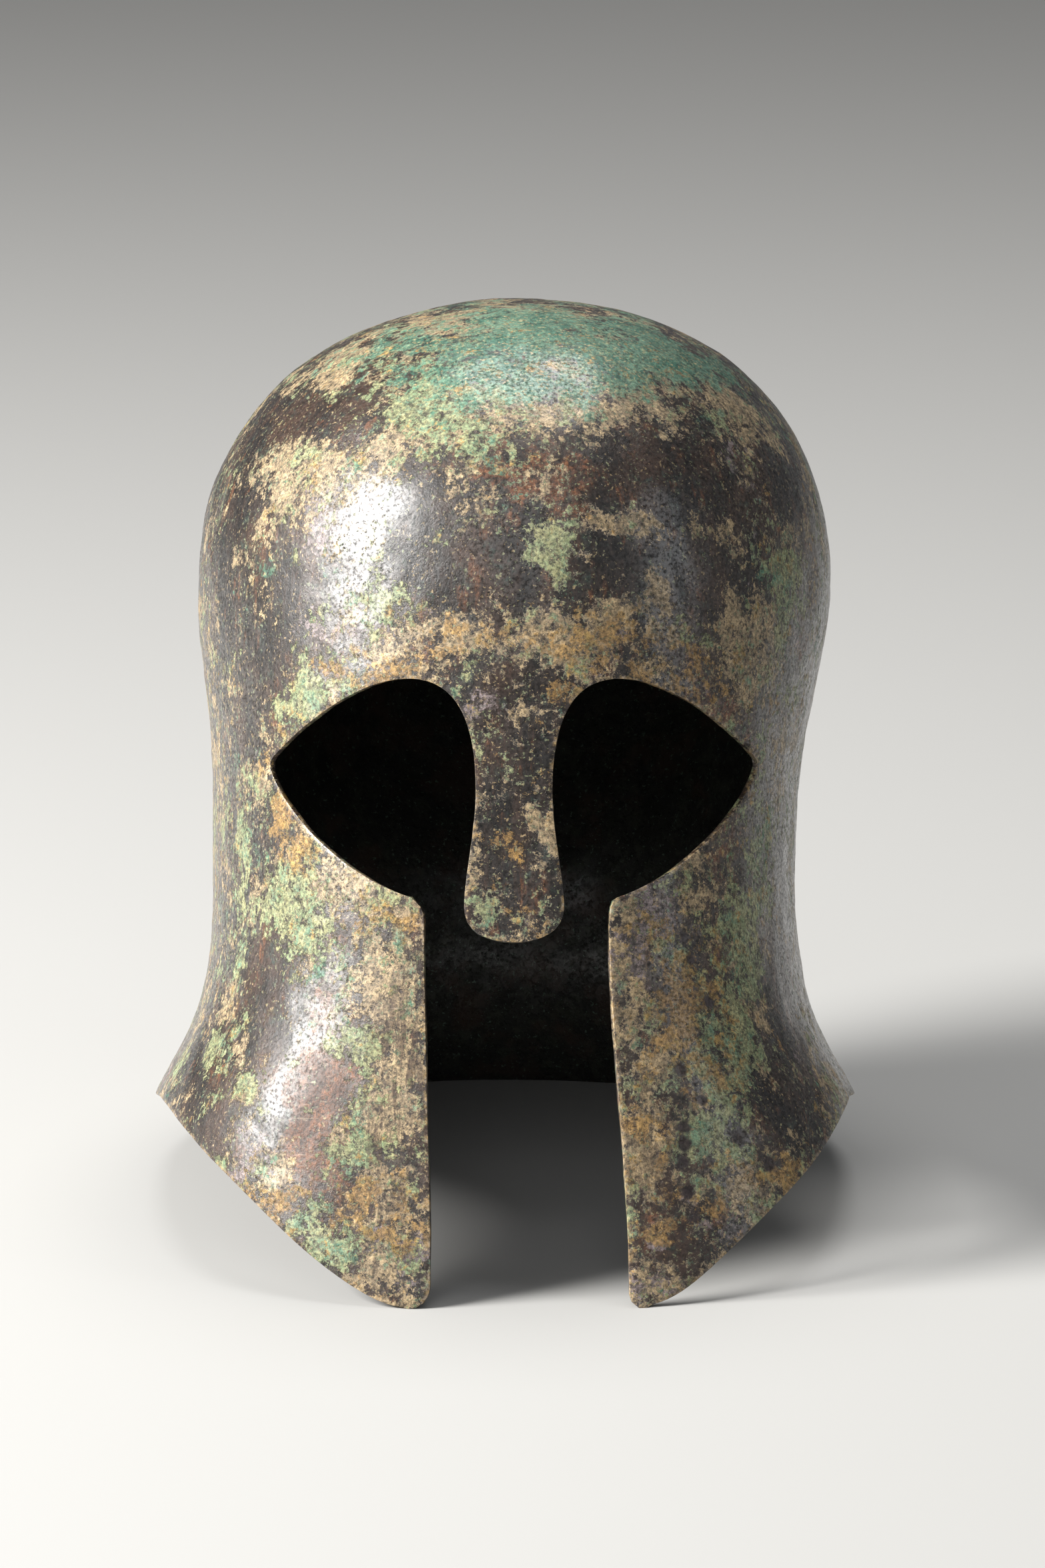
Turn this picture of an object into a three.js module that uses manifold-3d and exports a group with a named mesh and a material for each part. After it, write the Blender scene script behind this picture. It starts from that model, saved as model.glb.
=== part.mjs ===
// Corinthian helmet, raised from a single sheet of bronze: dome, neck guard, cheek pieces
// and nasal are all one wall, open below and at the face.
//
// It is drawn upright in its own frame, in millimetres: X to the viewer's right, Y to the
// back, Z up, with the rim of the neck guard at height 0. Azimuth runs round the helmet
// from the middle of the face, positive to the viewer's right. At the end the helmet is
// tipped back until it stands on its two cheek feet and the rear of its rim.

import * as THREE from 'three';
import { ParametricGeometry } from 'three/addons/geometries/ParametricGeometry.js';
import { mergeVertices } from 'three/addons/utils/BufferGeometryUtils.js';
import Module from 'manifold-3d';

const DEGREE = Math.PI / 180;

// Level sections of the outside, from the crown down. half is half the width, front and
// back are the reach from the axis, lean is how far the section sits off the axis
// to the right, and the blunt values are the exponents of the section's rounded shape:
// 2 is an ellipse and more is squarer. The last row is below the rim and is cut away.
const SECTIONS = [
  { height: 237.8, half: 0.0, front: 0.0, back: 0.0, lean: 2.6, bluntFront: 2.05, bluntBack: 2.05 },
  { height: 227.0, half: 49.9, front: 62.6, back: 63.6, lean: 1.6, bluntFront: 2.05, bluntBack: 2.05 },
  { height: 203.0, half: 79.2, front: 99.5, back: 101.0, lean: 0.8, bluntFront: 2.05, bluntBack: 2.05 },
  { height: 179.0, half: 91.1, front: 115.0, back: 116.5, lean: 0.2, bluntFront: 2.08, bluntBack: 2.05 },
  { height: 155.0, half: 94.6, front: 120.5, back: 121.0, lean: 0.0, bluntFront: 2.12, bluntBack: 2.05 },
  { height: 125.0, half: 92.0, front: 122.0, back: 117.5, lean: -0.8, bluntFront: 2.25, bluntBack: 2.08 },
  { height: 95.0, half: 87.8, front: 122.0, back: 108.5, lean: -2.4, bluntFront: 2.40, bluntBack: 2.12 },
  { height: 71.0, half: 87.2, front: 122.0, back: 100.5, lean: -3.0, bluntFront: 2.50, bluntBack: 2.15 },
  { height: 47.0, half: 87.8, front: 122.5, back: 98.0, lean: -3.0, bluntFront: 2.58, bluntBack: 2.18 },
  { height: 29.0, half: 90.8, front: 123.2, back: 101.0, lean: -3.0, bluntFront: 2.64, bluntBack: 2.20 },
  { height: 14.0, half: 96.9, front: 124.3, back: 108.5, lean: -3.0, bluntFront: 2.68, bluntBack: 2.20 },
  { height: 4.5, half: 102.2, front: 125.2, back: 115.5, lean: -2.9, bluntFront: 2.70, bluntBack: 2.20 },
  { height: 0.0, half: 104.5, front: 125.7, back: 119.0, lean: -2.8, bluntFront: 2.70, bluntBack: 2.20 },
  { height: -20.0, half: 110.0, front: 127.6, back: 130.0, lean: -1.6, bluntFront: 2.72, bluntBack: 2.20 },
  { height: -66.0, half: 112.0, front: 131.2, back: 140.0, lean: 0.0, bluntFront: 2.75, bluntBack: 2.20 },
];
const CROWN_HEIGHT = SECTIONS[0].height;
const WIDEST_HEIGHT = 155;

// Height of the lower edge of each cheek piece over azimuth, from where it leaves the
// level rim of the neck guard to the foot.
const CHEEK_EDGE = [
  { azimuth: 12.0, left: -58.3, right: -58.3 },
  { azimuth: 16.0, left: -56.5, right: -57.6 },
  { azimuth: 20.0, left: -51.9, right: -54.6 },
  { azimuth: 26.0, left: -42.3, right: -44.9 },
  { azimuth: 34.0, left: -27.9, right: -31.0 },
  { azimuth: 42.0, left: -16.2, right: -19.7 },
  { azimuth: 50.0, left: -7.9, right: -10.4 },
  { azimuth: 58.0, left: -2.8, right: -4.2 },
  { azimuth: 68.0, left: 0.0, right: 0.0 },
];
const FOOT_AZIMUTH = CHEEK_EDGE[0].azimuth;
const FOOT_HEIGHT = CHEEK_EDGE[0].left;
const TIP_AZIMUTH = CHEEK_EDGE[CHEEK_EDGE.length - 1].azimuth;

// The sheet: thinnest on the crown, thicker towards the edges and thickest in the nasal,
// where the extra fades in down the brow and away to the sides.
const CROWN_WALL = 1.3;
const EDGE_WALL = 2.0;
const NASAL_EXTRA = 1.0;
const NASAL_HALF_WIDTH = 15;
const BROW_TOP = 145;
const BROW_FOOT = 95;

// Edge of the face opening in the front view, on one side, as half widths and heights: up
// the nasal from its tip, and round the eye to the corner of the cheek piece. A curve leaves
// its start towards one point and arrives at its end from another. A corner is rounded off.
const NASAL_TIP = 46.8;
const FACE_EDGE = [
  { leave: [9.0, NASAL_TIP], arrive: [14.4, 50.5], end: [14.4, 57.0] },
  { leave: [14.2, 67.0], arrive: [11.0, 78.0], end: [11.0, 90.0] },
  { leave: [11.0, 112.0], arrive: [17.5, 122.5], end: [30.5, 122.5] },
  { leave: [44.0, 122.5], arrive: [58.5, 112.0], end: [69.4, 100.8] },
  { corner: [71.6, 98.6], end: [70.8, 96.4] },
  { leave: [66.0, 83.0], arrive: [49.0, 65.5], end: [29.5, 59.6] },
];

// The gap between the cheek pieces widens a little to the right. round is the radius of
// the corner at the foot.
const GAP = {
  left: { top: 25.9, foot: 24.0, round: 7 },
  right: { top: 27.5, foot: 33.0, round: 5 },
};
const GAP_CORNER_HEIGHT = 57.8;
const GAP_TOP_HEIGHT = 54;

// How finely the surfaces are divided.
const AZIMUTH_STEPS = 60;
const CROWN_ROWS = 9;
const SIDE_ROWS = 19;
const RIM_STEPS = 100;
const CURVE_STEPS = 8;
const HALVINGS = 40;
const SMALLEST = 1e-6;

// The cutting bodies lie on both sides of the wall, at these reaches from the axis, and
// reach down to the lowest height. The wall runs on below the edge by the trim, which is
// then cut away.
const CUT_INSIDE = 80;
const CUT_OUTSIDE = 160;
const CUT_LAYERS = 8;
const CUT_BELOW = -110;
const TRIM = 5;

// Corners closer than this are joined: in a surface as it is made, and after the last cut,
// which leaves slivers.
const SAME_POINT = 1e-3;
const SLIVER = 0.03;

// The feet and the rear rim are worn flat by this much where they stand.
const STANDING_WEAR = 1.0;

/** A smooth curve through the points (xs ascending, ys), straight at its two ends. */
function smoothCurve(xs, ys) {
  const last = xs.length - 1;
  const bends = new Array(last + 1).fill(0);
  const carry = new Array(last + 1).fill(0);
  for (let i = 1; i < last; i++) {
    const before = xs[i] - xs[i - 1];
    const after = xs[i + 1] - xs[i];
    const pivot = 2 * (before + after) - before * carry[i - 1];
    const turn = (ys[i + 1] - ys[i]) / after - (ys[i] - ys[i - 1]) / before;
    carry[i] = after / pivot;
    bends[i] = (6 * turn - before * bends[i - 1]) / pivot;
  }
  for (let i = last - 1; i > 0; i--) bends[i] -= carry[i] * bends[i + 1];
  return (x) => {
    let i = 0;
    while (i < last - 1 && x > xs[i + 1]) i++;
    const step = xs[i + 1] - xs[i];
    const a = (xs[i + 1] - x) / step;
    const b = 1 - a;
    const bow = ((a ** 3 - a) * bends[i] + (b ** 3 - b) * bends[i + 1]) * step * step / 6;
    return a * ys[i] + b * ys[i + 1] + bow;
  };
}

/** A smooth curve of one column of a table over another, in ascending order. */
function tableCurve(table, over, column, shape = (value) => value) {
  const rows = [...table].sort((p, q) => p[over] - q[over]);
  return smoothCurve(rows.map((row) => row[over]), rows.map((row) => shape(row[column])));
}

// The reaches are smoothed as squares, which closes the crown as a round dome.
const square = (value) => value * value;
const halfSquared = tableCurve(SECTIONS, 'height', 'half', square);
const frontSquared = tableCurve(SECTIONS, 'height', 'front', square);
const backSquared = tableCurve(SECTIONS, 'height', 'back', square);
const leanAt = tableCurve(SECTIONS, 'height', 'lean');
const bluntFrontAt = tableCurve(SECTIONS, 'height', 'bluntFront');
const bluntBackAt = tableCurve(SECTIONS, 'height', 'bluntBack');
const leftEdge = tableCurve(CHEEK_EDGE, 'azimuth', 'left');
const rightEdge = tableCurve(CHEEK_EDGE, 'azimuth', 'right');

/** Reach of the outside from the section's centre at an azimuth and a height. */
function reachAt(azimuth, height) {
  const frontShare = (1 + Math.cos(azimuth)) / 2;
  const half = Math.sqrt(Math.max(halfSquared(height), 0));
  const front = Math.sqrt(Math.max(frontSquared(height), 0));
  const back = Math.sqrt(Math.max(backSquared(height), 0));
  if (half < SMALLEST) return 0;
  const length = back + (front - back) * frontShare;
  const blunt = bluntBackAt(height) + (bluntFrontAt(height) - bluntBackAt(height)) * frontShare;
  const across = Math.abs(Math.sin(azimuth) / half) ** blunt;
  const along = Math.abs(Math.cos(azimuth) / length) ** blunt;
  return (across + along) ** (-1 / blunt);
}

/** The point at an azimuth, a height and a reach from the section's centre. */
function pointAt(azimuth, height, reach) {
  const x = leanAt(height) + reach * Math.sin(azimuth);
  return new THREE.Vector3(x, -reach * Math.cos(azimuth), height);
}

/** Height of the helmet's lower edge at an azimuth in radians. */
function edgeHeight(azimuth) {
  const turn = Math.abs(azimuth) / DEGREE;
  if (turn >= TIP_AZIMUTH) return 0;
  const edge = azimuth < 0 ? leftEdge : rightEdge;
  return edge(Math.max(turn, FOOT_AZIMUTH));
}

/** A point of the outside; drop is 0 at the crown and 1 just below the lower edge. */
function outsidePoint(azimuth, drop) {
  const crownShare = CROWN_ROWS / (CROWN_ROWS + SIDE_ROWS);
  let height;
  if (drop < crownShare) {
    const rise = CROWN_HEIGHT - WIDEST_HEIGHT;
    height = WIDEST_HEIGHT + rise * Math.cos((drop / crownShare) * Math.PI / 2);
  } else {
    const fall = (drop - crownShare) / (1 - crownShare);
    height = WIDEST_HEIGHT + (edgeHeight(azimuth) - TRIM - WIDEST_HEIGHT) * fall;
  }
  return pointAt(azimuth, height, reachAt(azimuth, height));
}

/** The way out of the wall at a point of the outside. */
function outwardAt(azimuth, drop) {
  const step = 1e-3;
  if (drop < step) return new THREE.Vector3(0, 0, 1);
  const round = outsidePoint(azimuth + step, drop).sub(outsidePoint(azimuth - step, drop));
  const down = outsidePoint(azimuth, Math.min(drop + step, 1));
  down.sub(outsidePoint(azimuth, drop - step));
  return down.cross(round).normalize();
}

/** Thickness of the sheet at a point of the outside. */
function wallAt(point) {
  const low = THREE.MathUtils.smoothstep(CROWN_HEIGHT - point.z, 0, CROWN_HEIGHT);
  const wall = CROWN_WALL + (EDGE_WALL - CROWN_WALL) * low;
  if (point.y > 0) return wall;
  const down = 1 - THREE.MathUtils.smoothstep(point.z, BROW_FOOT, BROW_TOP);
  const off = THREE.MathUtils.smoothstep(Math.abs(point.x), NASAL_HALF_WIDTH, 2 * NASAL_HALF_WIDTH);
  return wall + NASAL_EXTRA * down * (1 - off);
}

/** The whole wall before its openings: out over the crown, down, and back up inside. */
function bowlPoint(u, v, target) {
  const azimuth = (0.5 - u) * 2 * Math.PI;
  const outside = v <= 0.5;
  const drop = outside ? 2 * v : 2 * (1 - v);
  target.copy(outsidePoint(azimuth, drop));
  if (!outside) {
    const wall = wallAt(target);
    target.addScaledVector(outwardAt(azimuth, drop), -wall);
  }
}

/** Azimuth at which the outside has a given X, in front, at a height. */
function azimuthAtX(x, height) {
  const offset = x - leanAt(height);
  let low = 0;
  let high = Math.PI / 2;
  for (let i = 0; i < HALVINGS; i++) {
    const middle = (low + high) / 2;
    if (reachAt(middle, height) * Math.sin(middle) < Math.abs(offset)) low = middle;
    else high = middle;
  }
  return Math.sign(offset) * low;
}

/** One side of the face opening in the front view, from the nasal's tip to below the foot. */
function faceSide(side, gap) {
  const path = new THREE.Path();
  const at = ([half, height]) => [side * half, height];
  path.moveTo(0, NASAL_TIP);
  for (const { leave, arrive, corner, end } of FACE_EDGE) {
    if (corner) path.quadraticCurveTo(...at(corner), ...at(end));
    else path.bezierCurveTo(...at(leave), ...at(arrive), ...at(end));
  }
  path.quadraticCurveTo(...at([gap.top, GAP_CORNER_HEIGHT]), ...at([gap.top, GAP_TOP_HEIGHT]));
  const heel = gap.foot + gap.round;
  path.lineTo(...at([gap.foot, FOOT_HEIGHT + gap.round]));
  path.quadraticCurveTo(...at([gap.foot, FOOT_HEIGHT]), ...at([heel, FOOT_HEIGHT]));
  path.lineTo(...at([heel, CUT_BELOW]));
  return path.getPoints(CURVE_STEPS);
}

/** The face opening in the front view. */
function faceOutline() {
  const right = faceSide(1, GAP.right);
  const left = faceSide(-1, GAP.left);
  return new THREE.Shape([...right, ...left.reverse().slice(0, -1)]);
}

/** The face opening as a body that cuts straight in towards the axis. */
function faceCutter() {
  const depth = CUT_OUTSIDE - CUT_INSIDE;
  const options = { depth, steps: CUT_LAYERS, bevelEnabled: false };
  const geometry = new THREE.ExtrudeGeometry(faceOutline(), options);
  const position = geometry.getAttribute('position');
  for (let i = 0; i < position.count; i++) {
    const height = position.getY(i);
    const reach = position.getZ(i) + CUT_INSIDE;
    const level = Math.max(height, FOOT_HEIGHT);
    const point = pointAt(azimuthAtX(position.getX(i), level), height, reach);
    position.setXYZ(i, point.x, point.y, point.z);
  }
  return geometry;
}

/** A ring whose top follows the lower edge of the helmet, and which cuts all below it. */
function rimCutter() {
  const profile = [CUT_INSIDE, CUT_OUTSIDE].map((reach) => new THREE.Vector2(reach, CUT_BELOW));
  for (let layer = CUT_LAYERS; layer >= 0; layer--) {
    const reach = CUT_INSIDE + (CUT_OUTSIDE - CUT_INSIDE) * layer / CUT_LAYERS;
    profile.push(new THREE.Vector2(reach, 0));
  }
  profile.push(profile[0]);
  const geometry = new THREE.LatheGeometry(profile, RIM_STEPS);
  geometry.rotateX(Math.PI / 2);
  const position = geometry.getAttribute('position');
  for (let i = 0; i < position.count; i++) {
    const azimuth = Math.atan2(position.getX(i), -position.getY(i));
    if (position.getZ(i) > CUT_BELOW / 2) position.setZ(i, edgeHeight(azimuth));
  }
  return geometry;
}

const wasm = await Module();
wasm.setup();

/** A closed geometry as a solid that can be cut, with corners closer than this joined. */
function toSolid(geometry, closest = SAME_POINT) {
  const bare = geometry.clone();
  bare.deleteAttribute('normal');
  bare.deleteAttribute('uv');
  const merged = mergeVertices(bare, closest);
  const corners = [];
  for (let i = 0; i < merged.index.count; i += 3) {
    const [a, b, c] = [0, 1, 2].map((k) => merged.index.getX(i + k));
    if (a !== b && b !== c && c !== a) corners.push(a, b, c);
  }
  const vertProperties = new Float32Array(merged.getAttribute('position').array);
  const triVerts = new Uint32Array(corners);
  const solid = new wasm.Manifold(new wasm.Mesh({ numProp: 3, vertProperties, triVerts }));
  if (solid.volume() <= 0) throw new Error('A body is inside out.');
  return solid;
}

/** A solid as a three.js geometry. */
function toGeometry(solid) {
  const mesh = solid.getMesh();
  const position = new THREE.BufferAttribute(new Float32Array(mesh.vertProperties), 3);
  const geometry = new THREE.BufferGeometry();
  geometry.setAttribute('position', position);
  geometry.setIndex([...mesh.triVerts]);
  return geometry;
}

/** The upright helmet, with its openings cut. */
function uprightHelmet() {
  const rows = 2 * (CROWN_ROWS + SIDE_ROWS);
  const bowl = toSolid(new ParametricGeometry(bowlPoint, AZIMUTH_STEPS, rows));
  return bowl.subtract(toSolid(faceCutter())).subtract(toSolid(rimCutter()));
}

/** How far the helmet tips back when it stands on its cheek feet and the rear of its rim. */
function standingTilt() {
  const footAzimuth = FOOT_AZIMUTH * DEGREE;
  const foot = pointAt(footAzimuth, FOOT_HEIGHT, reachAt(footAzimuth, FOOT_HEIGHT));
  const heel = pointAt(Math.PI, 0, reachAt(Math.PI, 0));
  return Math.atan2(heel.z - foot.z, heel.y - foot.y);
}

/** The helmet as it stands, worn flat where it touches, with its base at height 0. */
function standingHelmet() {
  const tipped = toGeometry(uprightHelmet());
  tipped.rotateX(-standingTilt());
  tipped.computeBoundingBox();
  const base = tipped.boundingBox.min.z;
  const size = tipped.boundingBox.getSize(new THREE.Vector3());

  const ground = new THREE.BoxGeometry(2 * size.x, 2 * size.y, size.z);
  ground.translate(0, 0, base + STANDING_WEAR - size.z / 2);
  const worn = toGeometry(toSolid(tipped).subtract(toSolid(ground)));

  const standing = toGeometry(toSolid(worn, SLIVER));
  standing.computeBoundingBox();
  const middle = standing.boundingBox.getCenter(new THREE.Vector3());
  standing.translate(-middle.x, -middle.y, -standing.boundingBox.min.z);
  standing.computeVertexNormals();
  return standing;
}

const patinatedBronze = new THREE.MeshStandardMaterial({
  color: 0x77745a,
  roughness: 0.5,
  metalness: 0.5,
});
const helmetShell = new THREE.Mesh(standingHelmet(), patinatedBronze);
helmetShell.name = 'helmet_shell';

const helmet = new THREE.Group();
helmet.add(helmetShell);

export default helmet;
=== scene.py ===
"""Corinthian helmet of patinated bronze, standing on a pale floor.

The fine wall is cut flat, as a chart of azimuth and row, then raised onto the helmet's
form. Lengths inside the classes are millimetres in the helmet's own upright frame: X to
the viewer's right, Y to the back, Z up, with the rim of the neck guard at height 0.
"""
from __future__ import annotations

import logging
import math
from dataclasses import dataclass, field
from enum import Enum
from typing import Iterable

import bmesh
import bpy
import numpy as np
from mathutils import Matrix, Vector, kdtree, noise

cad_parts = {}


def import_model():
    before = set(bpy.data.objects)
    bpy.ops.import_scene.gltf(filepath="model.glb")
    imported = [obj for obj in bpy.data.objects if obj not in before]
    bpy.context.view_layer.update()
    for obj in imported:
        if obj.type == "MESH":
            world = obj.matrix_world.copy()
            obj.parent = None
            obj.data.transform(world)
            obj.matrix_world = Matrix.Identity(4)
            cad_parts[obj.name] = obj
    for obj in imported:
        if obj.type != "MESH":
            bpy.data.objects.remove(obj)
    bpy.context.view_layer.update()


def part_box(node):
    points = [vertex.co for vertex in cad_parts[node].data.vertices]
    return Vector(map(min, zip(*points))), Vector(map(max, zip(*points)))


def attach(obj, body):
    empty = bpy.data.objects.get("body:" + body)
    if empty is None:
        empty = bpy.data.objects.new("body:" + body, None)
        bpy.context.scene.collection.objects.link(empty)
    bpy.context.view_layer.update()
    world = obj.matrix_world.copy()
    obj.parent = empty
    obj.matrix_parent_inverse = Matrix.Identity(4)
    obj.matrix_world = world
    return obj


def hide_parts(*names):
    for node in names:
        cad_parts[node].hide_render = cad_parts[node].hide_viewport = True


LOG = logging.getLogger("helmet")
MM = 0.001

# TINY keeps a root's argument above 0. The others are how many halvings, Newton steps and
# points per curve are enough for the form.
TINY = 1e-8
HALVINGS = 36
NEWTON_STEPS = 30
CURVE_POINTS = 24

Pair = tuple[float, float]
Triple = tuple[float, float, float]


# ---------------------------------------------------------------------------- form


@dataclass(frozen=True)
class Section:
    """One level section of the outside, in millimetres.

    The blunt values are exponents of the rounded outline: 2 is an ellipse, more is squarer.
    """

    height: float
    half: float
    front: float
    back: float
    lean: float
    blunt_front: float
    blunt_back: float


SECTIONS = (
    Section(237.8, 0.0, 0.0, 0.0, 2.6, 2.05, 2.05),
    Section(227.0, 49.9, 62.6, 63.6, 1.6, 2.05, 2.05),
    Section(203.0, 79.2, 99.5, 101.0, 0.8, 2.05, 2.05),
    Section(179.0, 91.1, 115.0, 116.5, 0.2, 2.08, 2.05),
    Section(155.0, 94.6, 120.5, 121.0, 0.0, 2.12, 2.05),
    Section(125.0, 92.0, 122.0, 117.5, -0.8, 2.25, 2.08),
    Section(95.0, 87.8, 122.0, 108.5, -2.4, 2.40, 2.12),
    Section(71.0, 87.2, 122.0, 100.5, -3.0, 2.50, 2.15),
    Section(47.0, 87.8, 122.5, 98.0, -3.0, 2.58, 2.18),
    Section(29.0, 90.8, 123.2, 101.0, -3.0, 2.64, 2.20),
    Section(14.0, 96.9, 124.3, 108.5, -3.0, 2.68, 2.20),
    Section(4.5, 102.2, 125.2, 115.5, -2.9, 2.70, 2.20),
    Section(0.0, 104.5, 125.7, 119.0, -2.8, 2.70, 2.20),
    Section(-20.0, 110.0, 127.6, 130.0, -1.6, 2.72, 2.20),
    Section(-66.0, 112.0, 131.2, 140.0, 0.0, 2.75, 2.20),
)


@dataclass(frozen=True)
class EdgeStation:
    """Height of the two cheek pieces' lower edge at one azimuth, in degrees."""

    azimuth: float
    left: float
    right: float


CHEEK_EDGE = (
    EdgeStation(12.0, -58.3, -58.3),
    EdgeStation(16.0, -56.5, -57.6),
    EdgeStation(20.0, -51.9, -54.6),
    EdgeStation(26.0, -42.3, -44.9),
    EdgeStation(34.0, -27.9, -31.0),
    EdgeStation(42.0, -16.2, -19.7),
    EdgeStation(50.0, -7.9, -10.4),
    EdgeStation(58.0, -2.8, -4.2),
    EdgeStation(68.0, 0.0, 0.0),
)


@dataclass(frozen=True)
class EdgeCurve:
    """One curve of the face opening's edge: how it leaves, how it arrives and where it ends."""

    leave: Pair
    arrive: Pair
    end: Pair


# The edge in the front view, as X outwards and height: from the nasal's tip round one eye.
NASAL_TIP = (0.0, 46.8)
FACE_EDGE = (
    EdgeCurve((9, 46.8), (14.4, 50.5), (14.4, 57)),
    EdgeCurve((14.2, 67), (11, 78), (11, 90)),
    EdgeCurve((11, 112), (17.5, 122.5), (30.5, 122.5)),
    EdgeCurve((44, 122.5), (58.5, 112), (69.4, 100.8)),
    EdgeCurve((70.9, 99.3), (71.4, 98.0), (70.8, 96.4)),
    EdgeCurve((66, 83), (49, 65.5), (29.5, 59.6)),
)


@dataclass(frozen=True)
class GapEdge:
    """One cheek piece's inner edge: its X at the top and the foot, and the foot's rounding."""

    top: float
    foot: float
    rounding: float


# The inner edges of the cheek pieces: 1 is the viewer's right and -1 the left. Both begin at
# the corner under the eye, run straight down from the top height and bend at the two heights.
GAP_EDGES = {1: GapEdge(27.5, 33.0, 5.0), -1: GapEdge(25.9, 24.0, 7.0)}
GAP_CORNER = (28.2, 58.4)
GAP_CORNER_HEIGHT = 56.7
GAP_TOP_HEIGHT = 54.0
GAP_BEND_HEIGHTS = (20.0, -20.0)
FOOT_BEND = 0.4


class SmoothCurve:
    """A natural cubic spline through ascending points."""

    def __init__(self, xs: Iterable[float], ys: Iterable[float]) -> None:
        """Solves the spline's bends.

        Args:
            xs: ascending places.
            ys: the value at each place.
        """
        self.xs = np.array(list(xs), float)
        self.ys = np.array(list(ys), float)
        steps = np.diff(self.xs)
        count = len(self.xs)
        matrix = np.eye(count)
        turns = np.zeros(count)
        for i in range(1, count - 1):
            matrix[i, i - 1:i + 2] = steps[i - 1], 2 * (steps[i - 1] + steps[i]), steps[i]
            rise = (self.ys[i + 1] - self.ys[i]) / steps[i]
            turns[i] = 6 * (rise - (self.ys[i] - self.ys[i - 1]) / steps[i - 1])
        self.bends = np.linalg.solve(matrix, turns)
        self.steps = steps

    def __call__(self, x: np.ndarray | float) -> np.ndarray:
        """The curve's value.

        Args:
            x: one place or many.

        Returns:
            The value at each place, straight beyond the ends' cells.
        """
        x = np.asarray(x, float)
        i = np.clip(np.searchsorted(self.xs, x) - 1, 0, len(self.steps) - 1)
        step = self.steps[i]
        a = (self.xs[i + 1] - x) / step
        b = 1 - a
        bow = ((a ** 3 - a) * self.bends[i] + (b ** 3 - b) * self.bends[i + 1]) * step ** 2 / 6
        return a * self.ys[i] + b * self.ys[i + 1] + bow


def bezier(start: Pair, first: Pair, second: Pair, end: Pair) -> list[Pair]:
    """Points of a cubic Bezier curve, without its start.

    Args:
        start: where the curve begins.
        first: first control point.
        second: second control point.
        end: where it ends.

    Returns:
        The points as (x, height) pairs.
    """
    points = []
    for i in range(1, CURVE_POINTS + 1):
        t = i / CURVE_POINTS
        s = 1 - t
        weights = s ** 3, 3 * s * s * t, 3 * s * t * t, t ** 3
        corners = list(zip(weights, (start, first, second, end)))
        points.append(tuple(sum(weight * corner[k] for weight, corner in corners) for k in (0, 1)))
    return points


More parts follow.
